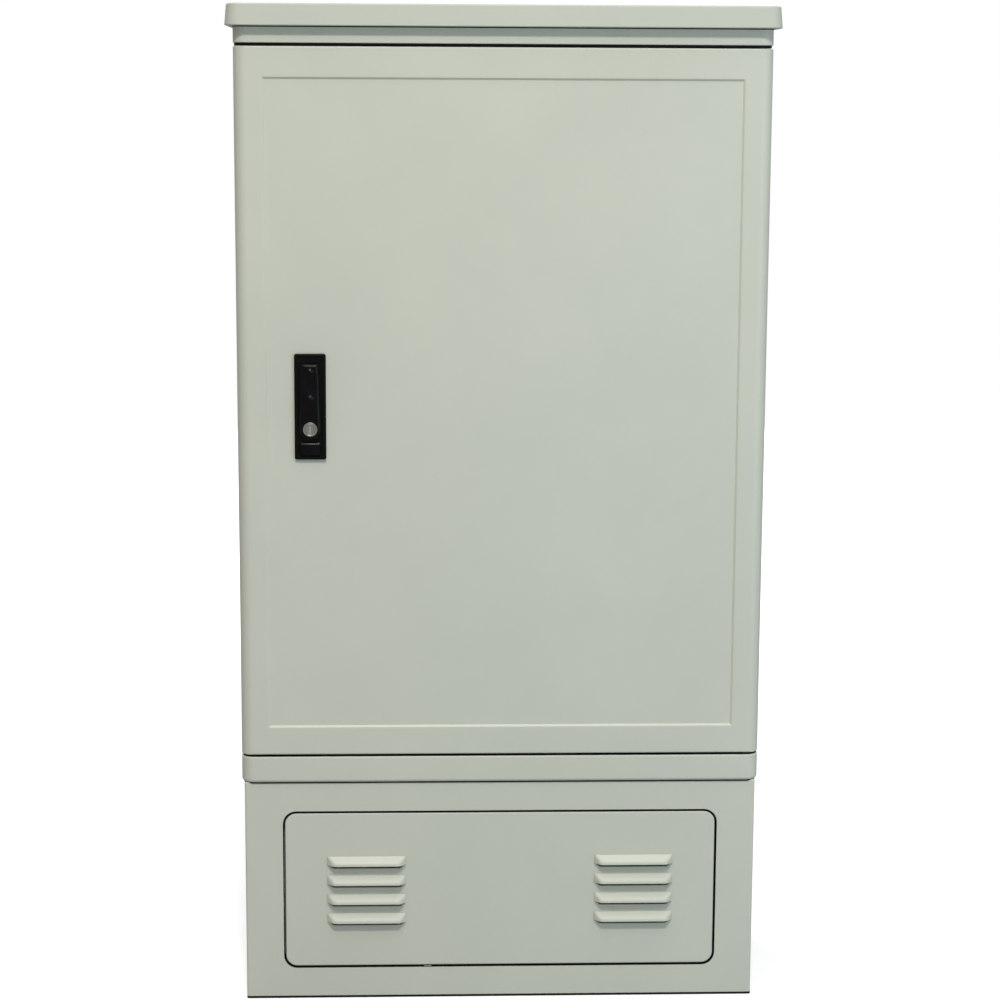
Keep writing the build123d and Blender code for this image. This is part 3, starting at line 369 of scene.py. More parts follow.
grain, start, end = effect(
    "rolled_grain",
    [*TONES, ("Along", "value", 6.0), ("Across", "value", 260.0),
     ("Low roughness", "value", 0.25), ("High roughness", "value", 0.45)],
    SURFACE,
)
place = add(grain, "ShaderNodeTexCoord").outputs["Object"]
across, along = start.outputs["Across"], start.outputs["Along"]
scale = add(grain, "ShaderNodeCombineXYZ", X=across, Y=across, Z=along).outputs[0]
drawn = work_out(grain, "ShaderNodeVectorMath", "MULTIPLY", place, scale)
streak = noise(grain, drawn, 1.0, 4.0)
bloom = noise(grain, place, 28.0, 5.0)
shade = work_out(grain, "ShaderNodeMath", "MULTIPLY_ADD", streak, 0.6, bloom)
hand_out(grain, start, end, spread(grain, shade, 0.5, 1.1), streak, streak)

dust, start, end = effect(
    "settled_dust",
    [("Under", "colour", (1, 1, 1, 1)), ("Dust", "colour", (0.5, 0.48, 0.42, 1)),
     ("Amount", "value", 0.3)],
    [("Colour", "colour")],
)
place = add(dust, "ShaderNodeTexCoord").outputs["Object"]
normal = add(dust, "ShaderNodeNewGeometry").outputs["Normal"]
looks_up = spread(dust, add(dust, "ShaderNodeSeparateXYZ", Vector=normal).outputs["Z"], 0.5, 1.0)
speck = spread(dust, noise(dust, place, 45.0, 8.0), 0.4, 0.75)
lying = work_out(dust, "ShaderNodeMath", "MULTIPLY", looks_up, speck)
cover = work_out(dust, "ShaderNodeMath", "MULTIPLY", lying, start.outputs["Amount"])
dusted = blend_colours(dust, cover, start.outputs["Under"], start.outputs["Dust"])
dust.links.new(dusted, end.inputs["Colour"])
print("effects:", [g.name for g in bpy.data.node_groups])

# %% [markdown]
# ## Materials
# The shell is compression-moulded polyester with glass fibre: pale grey with a green cast, a
# satin skin and a very fine orange peel. A finish joins two tones and a shared effect to one
# shader. Polyester and other plastics take the mottle, metals take the grain.

# %% Write the finishes as functions
RELIEF_DEPTH = 0.4


def finish(name, group, tones, values, bump, dusty=0.0, **constants):
    """A material: an effect for colour, roughness and bump, constants on the shader's own sockets."""
    material = bpy.data.materials.new(name)
    material.use_nodes = True
    tree = material.node_tree
    shader = tree.nodes["Principled BSDF"]
    for label, value in constants.items():
        shader.inputs[label.replace("_", " ")].default_value = value
    source = add(tree, "ShaderNodeGroup", {"node_tree": group})
    source.inputs["Light tone"].default_value = (*tones[0], 1)
    source.inputs["Dark tone"].default_value = (*tones[1], 1)
    for label, value in values.items():
        source.inputs[label.replace("_", " ")].default_value = value
    colour = source.outputs["Colour"]
    if dusty:
        settled = add(tree, "ShaderNodeGroup", {"node_tree": dust})
        settled.inputs["Amount"].default_value = dusty
        tree.links.new(colour, settled.inputs["Under"])
        colour = settled.outputs["Colour"]
    tree.links.new(colour, shader.inputs["Base Color"])
    tree.links.new(source.outputs["Roughness"], shader.inputs["Roughness"])
    height = source.outputs["Height"]
    relief = add(tree, "ShaderNodeBump", Height=height, Strength=bump, Distance=RELIEF_DEPTH * MM)
    tree.links.new(relief.outputs[0], shader.inputs["Normal"])
    return material


def polyester(name, light, dark):
    """Moulded polyester of the shell, a little dusty where it faces up."""
    satin = {"Scale": 5.0, "Low roughness": 0.42, "High roughness": 0.52}
    return finish(name, mottle, (light, dark), satin, 0.10, dusty=0.12, Specular_IOR_Level=0.42)


def metal(name, light, dark, bump, **values):
    """Bare metal with a grain."""
    return finish(name, grain, (light, dark), values, bump, Metallic=1.0)


def plastic(name, light, dark, bump, scale):
    """Moulded plastic with a mottle of its own scale."""
    return finish(name, mottle, (light, dark), {"Scale": scale}, bump)


print("relief of at most", RELIEF_DEPTH, "mm")

# %% [markdown]
# ## Tones
# The cap's tones are a darker copy of the shell's: painted shade that takes back the extra light
# its leaning skirt catches from above. Inside there is zinc-plated sheet, bright steel, grey trays,
# rubber, copper and the bronze of the door's two bushes. Every CAD node gets the finish of its material slot.

# %% Mix the materials
shell = polyester("shell_polyester", (0.566, 0.566, 0.476), (0.530, 0.532, 0.450))
# Painted shade: the cap takes a darker copy of the shell's tones.
cap_shell_painted_shade = polyester("cap_polyester_painted_shade", (0.501, 0.507, 0.428), (0.469, 0.476, 0.405))
bright = metal(
    "bright_steel", (0.78, 0.78, 0.77), (0.60, 0.60, 0.60), 0.08,
    Low_roughness=0.2, High_roughness=0.36,
)
zinc = metal("zinc_sheet", (0.70, 0.72, 0.73), (0.50, 0.52, 0.54), 0.06, Along=14.0, Across=60.0)
bronze = metal("bush_bronze", (0.36, 0.25, 0.12), (0.24, 0.16, 0.07), 0.1, Along=40.0, Across=120.0)
key_steel = metal("key_cylinder", (0.50, 0.49, 0.45), (0.32, 0.31, 0.28), 0.2, Along=120.0, Across=700.0)
copper = metal("earth_copper", (0.80, 0.42, 0.26), (0.56, 0.26, 0.15), 0.1, Along=200.0, Across=90.0)
tray_grey = plastic("tray_plastic", (0.42, 0.44, 0.45), (0.36, 0.38, 0.39), 0.08, 20.0)
pocket_plastic = plastic("pocket_plastic", (0.66, 0.67, 0.65), (0.60, 0.61, 0.59), 0.06, 16.0)
spool_plastic = plastic("spool_plastic", (0.060, 0.062, 0.066), (0.045, 0.046, 0.050), 0.15, 30.0)
insulator_red = plastic("insulator_red", (0.42, 0.07, 0.04), (0.34, 0.05, 0.03), 0.08, 40.0)
# Black rubber: the real door gasket and grommets, and also the strips of painted shade laid in the joints and
# gaps of the shell.
rubber_and_painted_shade = finish(
    "black_rubber_and_painted_shade", mottle, ((0.012, 0.012, 0.013), (0.008, 0.008, 0.009)),
    {"Scale": 60.0, "Low roughness": 0.6, "High roughness": 0.8}, 0.3, Specular_IOR_Level=0.2,
)
lock_black = finish(
    "lock_black", mottle, ((0.0020, 0.0020, 0.0022), (0.0012, 0.0012, 0.0014)),
    {"Scale": 80.0, "Low roughness": 0.29, "High roughness": 0.35, "Peel scale": 1600.0},
    0.05, Specular_IOR_Level=0.15,
)

slot_finish = {
    "shell": shell, "zinc_sheet": zinc, "bright_steel": bright, "tray": tray_grey,
    "bush": bronze, "gasket": rubber_and_painted_shade, "lock_body": lock_black, "cylinder": key_steel,
    "pocket": pocket_plastic, "spool": spool_plastic, "earth": copper, "insulator": insulator_red,
}
for row in frame["record"]["subparts"]:
    mesh = frame["nodes"][row["node"]].data
    mesh.materials.clear()
    mesh.materials.append(slot_finish[row["material_slot"]])
for blackened in ("lock_spindle", "handle_pin"):
    frame["nodes"][blackened].data.materials[0] = lock_black
print(len(slot_finish), "finishes on", len(frame["nodes"]), "nodes")

# %% [markdown]
# ## Roof cap
# The cap is one moulding: a skirt that leans in by five degrees for the mould, a soft top
# edge and a roof that rises by 3 mm so that rain runs off. The stack of loops starts at the
# ceiling inside, comes down and out under the eave, and climbs over the skirt to the crown.
# The long eaves hang 3 mm lower in the middle than at their ends, as the picture shows it.

# %% Stack rows into a moulding
def stack(outline, rows, corner, axes, ring=False, least=0.8, steps=6):
    """A skin from rows of insets and a height.

    Each loop is the outline drawn in by its insets: one for all sides, or one for each in
    the order of the outline. The corner radius shrinks by the largest inset, down to least.
    """
    rows = np.asarray(rows, float)
    low_a, high_a, low_b, high_b = outline
    inset = np.broadcast_to(rows[:, :-1], (len(rows), 4))
    radius = np.maximum(corner - inset.max(axis=1), least)
    edges = (low_a + inset[:, 0], high_a - inset[:, 1], low_b + inset[:, 2], high_b - inset[:, 3])
    return skin(rounded_loops(*edges, radius, steps), rows[:, -1], axes, ring)


def quarter_round(radius, centre, start, steps=5):
    """Rows of a quarter circle that touches the outline, from start by 90 degrees and back to front.

    Inset is radius plus radius times the cosine, height the centre's plus radius times the sine.
    """
    angle = (np.radians(start) + np.linspace(0, np.pi / 2, steps + 1))[::-1]
    return np.stack([radius + radius * np.cos(angle), centre + radius * np.sin(angle)], axis=1)


def lower_edge(level, radius):
    """A rounded edge that runs outwards as it climbs from a level."""
    return quarter_round(radius, level + radius, 180)


def upper_edge(level, radius):
    """A rounded edge that runs inwards as it climbs to a level."""
    return quarter_round(radius, level - radius, 90)


print("rounded edges have", len(lower_edge(0.0, 1.0)), "rows")

# %% [markdown]
# ## The cap's rows
# The eave's sag is a parabola that dies out towards the roof and over the case, so only the
# outer skin of the long sides follows it. The seal under the eave takes the same curve later.

# %% Make the roof cap
case_outline, case_corner = plan_of("top_frame"), 18.0
case_half, case_back = case_outline[1], case_outline[3]
cap_low, cap_high = node_box("roof_cap")
eave_z, ridge_z = cap_low[2], cap_high[2]
draft, cap_corner, cap_edge, roof_rise = 5.0, 20.0, 2.2, 3.0
eave_reach, eave_ease, ceiling_rise = 40.0, 0.8, 25.0
sag, sag_fade = 3.0, 12.0

roof_z = ridge_z - roof_rise
edge_z = roof_z - cap_edge
edge_angle = np.radians(np.linspace(180 - draft, 90, 8))
skirt_lean = np.tan(np.radians(draft)) * (edge_z - eave_z)
edge_inset = skirt_lean + cap_edge * (1 + np.cos(edge_angle))
cap_rows = np.vstack([
    [(eave_reach, eave_z + ceiling_rise), (eave_reach, eave_z + eave_ease), (eave_reach - eave_ease, eave_z)],
    lower_edge(eave_z, 1.5),
    np.stack([edge_inset, edge_z + cap_edge * np.sin(edge_angle)], axis=1),
    [(24.0, roof_z), (60.0, roof_z + 1.25), (114.0, ridge_z), (124.0, ridge_z)],
])


def eave_sag(points):
    """How far the eave hangs: sag in the middle, less by the square of x over the case's half width."""
    return sag * MM * np.maximum(1 - (points[:, 0] / MM / case_half) ** 2, 0.0)


cap_points, cap_faces = stack(plan_of("roof_cap"), cap_rows, cap_corner, PLAN)
past_case = np.clip((np.abs(cap_points[:, 1]) / MM - case_back) / sag_fade, 0.0, 1.0)
below_roof = np.clip((roof_z - cap_points[:, 2] / MM) / (roof_z - eave_z), 0.0, 1.0)
cap_points[:, 2] -= past_case * below_roof * eave_sag(cap_points)
# The cap wears the darker copy of the shell's tones, which is painted shade.
roof_cap = even_normals(put("roof_cap_moulding", (cap_points, cap_faces), cap_shell_painted_shade))
settle(roof_cap, "cabinet", "shell", "roof_cap")

# %% [markdown]
# ## Top frame and sill
# Both are ring channels. Their outer edges next to the door are almost crisp, and the sill's
# lower edge is well rounded. A ring is a stack that closes on itself, so it needs no end faces.
# The holes that take the lock rods are cut afterwards.

# %% Make the two ring frames
wall_in, rib_out, rib_in, deck = 9.0, 54.0, 60.0, 6.0
head_z = node_box("head_stop")[1][2]
sill_z, deck_z = (corner[2] for corner in node_box("sill_frame"))
upper_spot, lower_spot = middle_of("rod_upper")[:2], middle_of("rod_lower")[:2]
keeper_half, keeper_corner = 7.0, 0.8


def keeper_hole(spot, low, high):
    """A cutter for the square hole that a lock rod goes through."""
    return bar(spot, keeper_half, past(low, high), keeper_corner)


top_rows = np.vstack([
    lower_edge(head_z, 1.2),
    [(0.0, eave_z - 1.0), (1.0, eave_z), (wall_in, eave_z), (wall_in, head_z + deck)],
    [(rib_out, head_z + deck), (rib_out, eave_z + 10.0), (rib_in, eave_z + 10.0), (rib_in, head_z)],
])
top_frame = put("top_frame_ring", stack(case_outline, top_rows, case_corner, PLAN, ring=True), shell)
cut(top_frame, keeper_hole(upper_spot, head_z, head_z + deck))
settle(even_normals(top_frame), "cabinet", "shell", "top_frame")

sill_rows = np.vstack([
    lower_edge(sill_z, 5.0),
    upper_edge(deck_z, 1.6),
    [(rib_in, deck_z), (rib_in, sill_z), (rib_out, sill_z), (rib_out, deck_z - deck)],
    [(wall_in, deck_z - deck), (wall_in, sill_z)],
])
sill = put("sill_ring", stack(case_outline, sill_rows, case_corner, PLAN, ring=True), shell)
cut(sill, keeper_hole(lower_spot, deck_z - deck, deck_z))
settle(even_normals(sill), "cabinet", "shell", "sill_frame")

# %% [markdown]
# ## Plinth
# A plain ring of walls with a flange to stand on and one to carry the sill. Its corners are
# almost sharp. The hatch's opening is cut through the front wall, four anchor holes go through
# the lower flange, and a stepped frame makes the seat that the hatch rests against.

# %% Make the plinth and the hatch's seat
plinth_low, plinth_high = node_box("plinth")
plinth_top, plinth_front = plinth_high[2], plinth_low[1]
plinth_outline, plinth_corner, plinth_wall = plan_of("plinth"), 3.2, 6.0
foot, foot_reach, head_reach = 8.0, 60.0, 40.0
anchor_x, anchor_y, anchor_radius, anchor_corner = 335.0, 120.0, 7.0, 6.99
hatch_outline, hatch_corner, hatch_gap = front_of("access_hatch"), 16.5, 3.0
opening, opening_corner = hatch_outline + hatch_gap * np.array([-1, 1, -1, 1]), hatch_corner + hatch_gap

under_head, wall_y = plinth_top - plinth_wall, plinth_front + plinth_wall
plinth_rows = np.vstack([
    [(0.8, 0.0), (0.0, 0.8)],
    upper_edge(plinth_top, 1.6),
    [(head_reach, plinth_top), (head_reach, under_head), (plinth_wall, under_head)],
    [(plinth_wall, foot), (foot_reach, foot), (foot_reach, 0.0)],
])
plinth = put("plinth_walls", stack(plinth_outline, plinth_rows, plinth_corner, PLAN, ring=True), shell)
mouth_low, mouth_high = past(plinth_front, wall_y)
mouth = block(
    (opening[0], opening[2], mouth_low), (opening[1], opening[3], mouth_high),
    opening_corner, FACING, steps=6,
)
anchors = [
    bar((x, y), anchor_radius, past(0.0, foot), anchor_corner)
    for x in (-anchor_x, anchor_x) for y in (-anchor_y, anchor_y)
]
cut(plinth, mouth, *anchors)
settle(even_normals(plinth), "cabinet", "shell", "plinth")

seat_wall, seat_lip, seat_overlap = 6.0, 14.0, 0.5
seat_front, seat_face, seat_back = wall_y - seat_overlap, wall_y + 12.3, wall_y + 17.3
seat_rows = [
    (-seat_wall, seat_front), (-seat_wall, seat_back), (seat_lip, seat_back),
    (seat_lip, seat_face), (0.0, seat_face), (0.0, seat_front),
]
seat = put("hatch_seat", stack(opening, seat_rows, opening_corner, FACING, ring=True, least=2.0), shell)
settle(seat, "cabinet", "shell")

# %% [markdown]
# ## Louvred hatch
# The hatch is a shallow pan. Air passes through eight vents, two columns of four, and each vent
# gets a pressed hood in the next step. One cutter is drawn and moved to all of them.

# %% Make the hatch and open its vents
hatch_depth, hatch_rim, hatch_skin, face_inset = 18.0, 8.0, 4.0, 34.0
hatch_back = plinth_front + hatch_depth
hatch_rows = np.vstack([
    [(face_inset, plinth_front)],
    lower_edge(plinth_front, 2.2),
    [(0.0, hatch_back), (hatch_rim, hatch_back), (hatch_rim, plinth_front + hatch_skin)],
])
hatch = put("hatch_pan", stack(hatch_outline, hatch_rows, hatch_corner, FACING), shell)

louvre_side, louvre_count, louvre_pitch, louvre_lift = 195.0, 4, 28.8, 1.2
louvre_x = np.repeat([-louvre_side, louvre_side], louvre_count)
louvre_row = (np.arange(louvre_count) - (louvre_count - 1) / 2) * louvre_pitch
louvre_z = hatch_outline[2:].mean() + louvre_lift + np.tile(louvre_row, 2)
vent_half, vent_drop, vent_rise, vent_corner = 53.0, 12.4, 3.0, 6.0
vent_low, vent_high = past(plinth_front, plinth_front + hatch_skin)
vent_foot = (-vent_half, -vent_drop, vent_low)
vent_head = (vent_half, vent_rise, vent_high)
vent = block(vent_foot, vent_head, vent_corner, FACING)
cut(hatch, *(shifted(vent, (x, 0.0, z)) for x, z in zip(louvre_x, louvre_z)))
settle(even_normals(hatch), "hatch", "shell", "access_hatch")

# %% [markdown]
# ## Louvre hoods
# A hood is a height over the hatch's face: the least of a slope that rises from the top, slopes
# that rise from both ends, and the hood's full reach. A soft minimum rounds the creases as the
# press does. All eight hoods are one grid that is set down eight times, with a wall given to it
# by Solidify. A small tab bridges the hatch's lower gap.

# %% Press the louvre hoods
def spots(x, y, z):
    """One row of x, y and z for each spot; a single number serves all of them."""
    return np.stack(np.broadcast_arrays(np.asarray(x, float), y, z), axis=-1).reshape(-1, 3)


def soft_least(first, second, blend):
    """The smaller of two heights, rounded where they meet.

    Half of their sum less the root of their difference squared plus blend squared.
    """
    return (first + second - np.sqrt((first - second) ** 2 + blend**2)) / 2


def louvre_hood(wide=111.0, slope=8.0, lip=4.7, reach=9.0, lean=8.0, ease=1.2, blend=1.6):
    """One hood over its own middle: x along, z up, height outwards.

    Height is the soft least of the top slope, reach times distance from the top edge over
    slope and eased in at its start, the end slope, reach times distance from the end over
    lean, and reach itself.
    """
    top_z = (slope + lip) / 2
    x = np.sin(np.linspace(-np.pi / 2, np.pi / 2, 56)) * wide / 2
    x, z = np.meshgrid(x, np.linspace(top_z, -top_z, 26), indexing="ij")
    top = np.hypot(reach * (top_z - z) / slope, ease) - ease
    end = reach * (wide / 2 - np.abs(x)) / lean
    height = soft_least(soft_least(top, end, blend), np.full_like(x, reach), blend)
    return x, z, np.maximum(height - height[:, :1].min(), 0.0)


hood_x, hood_z, hood_out = louvre_hood()
hood_seat, hood_sheet = 0.2, 1.8
hood_points = spots(
    louvre_x[:, None, None] + hood_x, plinth_front + hood_seat - hood_out, louvre_z[:, None, None] + hood_z,
) * MM
index = np.arange(len(hood_points)).reshape(len(louvre_x), *hood_x.shape)
hood_corners = [index[:, 1:, :-1], index[:, 1:, 1:], index[:, :-1, 1:], index[:, :-1, :-1]]
hood_faces = np.stack(hood_corners, axis=-1).reshape(-1, 4)
hoods = put("louvre_hoods", (hood_points, [hood_faces]), shell, sharp=60)
sheet = hoods.modifiers.new("sheet", "SOLIDIFY")
sheet.thickness, sheet.offset = hood_sheet * MM, -1.0
settle(hoods, "hatch", "shell")

tab_low = (-111.5, plinth_front + 2.5, hatch_outline[2] - 2.7)
tab_high = (-100.5, plinth_front + 10.0, hatch_outline[2] + 4.0)
tabs = put("hatch_tabs", block(tab_low, tab_high, 1.0, steps=2), shell)
settle(tabs, "hatch", "shell")

# %% [markdown]
# ## Door
# A full-width pan. Its upright corners are rounded by 18 mm, its top and bottom edges by
# less, and a field set back by 2.5 mm fills the front inside a 45 degree step. The stack of
# loops runs from the field over the front and round the edges to the rim, then back along
# the inside to the lining. The hinge side is round all the way for the pivot.

# %% Make the door
door_low, door_high = node_box("door_panel")
front, rim = door_low[1], door_high[1]
door_foot, door_top = door_low[2], door_high[2]
door_wall, lining_depth, end_round, loop_corner = 6.0, 7.0, 2.4, 1.2
field, field_depth = np.array([40.4, 40.4, 40.6, 42.0]), 2.5
field_step = [(2.9, field_depth), (2.3, 2.3), (0.3, 0.3), (-0.5, 0.0), (-4.0, 0.0)]

bend = np.radians(np.linspace(0, 90, 10))
depth = case_corner * (1 - np.cos(bend))
side_inset = case_corner * (1 - np.sin(bend))
end_inset = end_round - np.sqrt(np.maximum(end_round**2 - np.maximum(end_round - depth, 0.0) ** 2, 0.0))
turn_back = np.radians(np.linspace(12, 90, 8))
round_back = case_corner * (1 - np.cos(turn_back))
straight = np.zeros_like(round_back)
hinge_y = front + case_corner + case_corner * np.sin(turn_back)
inner = (door_wall, case_corner + door_wall, door_wall, door_wall)
door_rows = np.vstack([
    *(np.append(field + inset, front + back) for inset, back in field_step),
    np.stack([side_inset, side_inset, end_inset, end_inset, front + depth], axis=1),
    np.stack([straight, round_back, straight, straight, hinge_y], axis=1),
    [(*inner, rim), (*inner, front + lining_depth)],
])
door_shape = stack(front_of("door_panel"), door_rows, 0.0, FACING, least=loop_corner, steps=3)
door = put("door_pan", door_shape, shell)

lock_x, _, lock_z = middle_of("lock_housing")
pivot = middle_of("pivot_pins")[:2]
lock_cut_half, rod_hole, bush_hole, bush_depth = (18.5, 68.5), 4.3, 8.05, 30.0
lock_cut = bar((lock_x, lock_z), lock_cut_half, past(front, front + lining_depth), 1.0, FACING)
bores = [
    round_bar(upper_spot, rod_hole, past(door_top - door_wall, door_top)),
    round_bar(lower_spot, rod_hole, past(door_foot, door_foot + door_wall)),
    round_bar(pivot, bush_hole, (door_foot - THROUGH, door_foot + bush_depth)),
    round_bar(pivot, bush_hole, (door_top - bush_depth, door_top + THROUGH)),
]
cut(door, lock_cut, *bores)
settle(even_normals(door), "door", "shell", "door_panel")

# %% [markdown]
# ## Lock housing
# A black moulded plate with a dished field for the handle to lie in. It is a stack like the
# door, with its own inset for the sides and for the ends. A raised pad closes the dish at the
# foot; its upper edge is a broad chamfer that catches the lamp as a bright line.

# %% Make the housing and its pad
plate_proud, plate_round, plate_corner = 5.0, 1.3, 3.0
field_y = front + field_depth
plate_y = field_y - plate_proud
lock_outline = front_of("lock_housing")
lock_back = node_box("lock_housing")[1][1]
spindle_z = middle_of("lock_spindle")[2]
spindle_hole = 7.05


def sides(side, end, level):
    """One row of a stack with one inset for both sides and another for both ends."""
    return (side, side, end, end, level)


housing_rows = [
    sides(6.4, 5.6, plate_y + 1.2), sides(5.7, 4.9, plate_y + 0.9), sides(5.2, 4.4, plate_y),
    *(sides(inset, inset, y) for inset, y in lower_edge(plate_y, plate_round)),
    sides(0.0, 0.0, field_y), sides(4.25, 7.0, field_y), sides(4.25, 7.0, lock_back),
]
housing = put("lock_plate", stack(lock_outline, housing_rows, plate_corner, FACING, steps=3), lock_black)
cut(housing, round_bar((lock_x, spindle_z), spindle_hole, past(plate_y, lock_back), FACING))
settle(even_normals(housing), "door", "lock_body", "lock_housing")

pad_half, pad_tall, pad_foot = 14.0, 19.0, lock_outline[2] + 6.0
pad_outline = (lock_x - pad_half, lock_x + pad_half, pad_foot, pad_foot + pad_tall)
pad_rows = [
    (1.2, 1.2, 1.6, 3.2, plate_y - 3.0), (0.9, 0.9, 1.1, 2.9, plate_y - 2.9),
    (0.2, 0.2, 0.3, 0.7, plate_y - 1.65), (0.0, 0.0, 0.0, 0.2, plate_y - 1.1),
    (0.0, 0.0, 0.0, 0.0, plate_y + 1.6),
]
pad_shape = stack(pad_outline, pad_rows, 1.4, FACING, least=0.4, steps=3)
pad = put("lock_pad", pad_shape, lock_black, sharp=20)
settle(pad, "door", "lock_body")

# %% [markdown]
# ## Handle
# The lever is a section carried from its tip to its head. The section is a flat back with a
# softly squared arch over it; its half width and its depth follow the length, and three bumps
# shape the front: a dome over the pivot, a nub to pull and a shallow hollow between them.

# %% Shape the lever
handle_low, handle_high = node_box("lock_handle")
handle_tip, handle_top, handle_back = handle_low[2], handle_high[2], handle_high[1]
key_z = middle_of("lock_plug")[2]
nub_z = spindle_z - 42.0
head_radius, head_half, eye_radius, tip_half, tip_ease = 4.2, 12.0, 14.5, 10.0, 6.0


def hump(along, across, mid, long, wide, power):
    """A bump of height one: the exponential of minus both distances over their reach, to a power."""
    return np.exp(-np.abs((along - mid) / long) ** power - np.abs(across / wide) ** power)


def lever(across=41, along=14):
    """Loops and heights of the lever: x is half width times t, y the back less depth times arch.

    The arch is the sixth root of one less t to the sixth. Depth grows as a quarter ellipse
    at the tip and follows the pivot's circle at the head.
    """
    nub_ends = (nub_z - 8, nub_z + 8)
    stops = (handle_tip, handle_tip + tip_ease, key_z, *nub_ends, spindle_z - 8, spindle_z, handle_top - 0.02)
    spans = [np.linspace(a, b, along, endpoint=False) for a, b in zip(stops[:-1], stops[1:])]
    z = np.concatenate([*spans, stops[-1:]])[:, None]
    eye = np.sqrt(np.maximum(eye_radius**2 - (key_z - z) ** 2, 0.0))
    taper = np.interp(z, (key_z, spindle_z), (eye_radius, head_half))
    half = np.where(z < key_z, np.maximum(eye, tip_half), taper)
    rise = np.clip((z - handle_tip) / tip_ease, 0.0, 1.0)
    crest = np.sqrt(np.maximum(head_radius**2 - np.maximum(z - spindle_z, 0.0) ** 2, 0.0))
    body = 2 * head_radius * np.sqrt(1 - 0.75 * (1 - rise) ** 2)
    depth = np.where(z > spindle_z, 2 * crest, body)
    t = np.sin(np.linspace(-np.pi / 2, np.pi / 2, across))[None]
    x = half * t
    arch = (1 - t**6) ** (1 / 6)
    inner = np.clip(1.4 * arch - 0.4, 0.0, 1.0) * (z < spindle_z + 2)
    nub = 2.5 * hump(z, x, nub_z - 2, 3.9, 4.4, 2)
    dome = 2.3 * hump(z, x, spindle_z - 6, 3.4, 3.8, 2)
    hollow = 1.1 * hump(z, x, nub_z + 19, 11, 9, 4)
    y = handle_back - head_radius + crest - depth * arch - inner * (nub + dome - hollow)
    return np.stack([lock_x + x, y], axis=-1), z[:, 0]


handle = put("lock_lever", skin(*lever(), PLAN), lock_black, sharp=50)
print("lever with", len(handle.data.vertices), "points")

# %% [markdown]
# ## Room for the spindle and the key
# The lever's head straddles the spindle's tongue on a pin. Its slot has to clear the tongue
# with the lever down and with it lifted by 60 degrees, so a slot is cut for each of the two.
# The eye at the other end holds the key cylinder.

# %% Cut the lever's slot and eye
axle = np.array([0.0, handle_back - head_radius, spindle_z])
lifted = np.radians(60.0)
tilted = ((0, np.cos(lifted), np.sin(lifted)), (0, -np.sin(lifted), np.cos(lifted)), (1, 0, 0))
slot_low, slot_high = lock_x - 4.3, lock_x + 4.3
slot_half, slot_end, slot_corner, eye_hole = 3.4, 9.0, 0.2, 10.05
tongue_slots = [
    round_bar((0, 0), slot_half, (slot_low, slot_high), ACROSS),
    block((0, -slot_half, slot_low), (slot_end, slot_end, slot_high), slot_corner, ACROSS),
    block((0, -slot_half, slot_low), (slot_end, slot_half, slot_high), slot_corner, tilted),
]
key_eye = round_bar((lock_x, key_z), eye_hole, past(handle_low[1], handle_back), FACING, steps=10)
cut(handle, key_eye, *(shifted(slot, axle) for slot in tongue_slots))
settle(handle, "handle", "lock_body", "lock_handle")

# %% [markdown]
# ## Key cylinder
# Barrel and plug are turned pieces: rows of radius and height swept round an axis. The
# plug's keyway is cut as a slot, and a small bright shutter closes it against the rain.

# %% Turn the barrel, the plug and the shutter
def turned(rows, axes=PLAN, steps=32):
    """A turned shape about its own axis: each row's radius and height give one circle of points."""
    rows = np.asarray(rows, float)
    angle = np.arange(steps) * 2 * np.pi / steps
    circle = np.stack([np.cos(angle), np.sin(angle)], axis=-1)
    return skin(rows[:, :1, None] * circle, rows[:, 1], axes)


barrel_low, barrel_high = node_box("lock_barrel")
face, barrel_seat = -barrel_low[1], -barrel_high[1]
key_spot = (lock_x, 0.0, key_z)
keyway_half, keyway_depth, shutter_play = np.array([1.3, 4.8]), 3.1, 0.05

barrel_rows = [
    (10.0, barrel_seat), (10.0, face - 0.5), (9.5, face),
    (8.2, face), (7.7, face - 0.4), (7.7, face - 7.0),
]
barrel = put("key_barrel", shifted(turned(barrel_rows, OUTWARD), key_spot), key_steel)
settle(barrel, "handle", "cylinder", "lock_barrel")

plug_rows = [(7.55, face - 6.9), (7.55, face - 0.5), (7.1, face - 0.1), (6.6, face - 0.1), (6.4, face - 0.35)]
plug = put("key_plug_face", shifted(turned(plug_rows, OUTWARD), key_spot), key_steel)
keyway = bar((lock_x, key_z), keyway_half, (-face - THROUGH, -face + keyway_depth), 0.4, FACING)
cut(plug, keyway)
settle(plug, "key_plug", "cylinder", "lock_plug")

shutter_x, shutter_z = keyway_half - shutter_play
shutter_outline = (lock_x - shutter_x, lock_x + shutter_x, key_z - shutter_z, key_z + shutter_z)
shutter_rows = [(0.3, face - 0.5), (0.0, face - 0.8), (0.0, face - 2.9)]
shutter_shape = stack(shutter_outline, shutter_rows, 0.4, OUTWARD, least=0.1, steps=2)
settle(put("keyway_shutter", shutter_shape, bright), "key_plug", "cylinder")

# %% [markdown]
# ## Door seal
# The gasket is one length of rubber: two thin flanges that are glued to the case and a bulb
# between them for the door's rim to press on. Its section is carried round the opening.

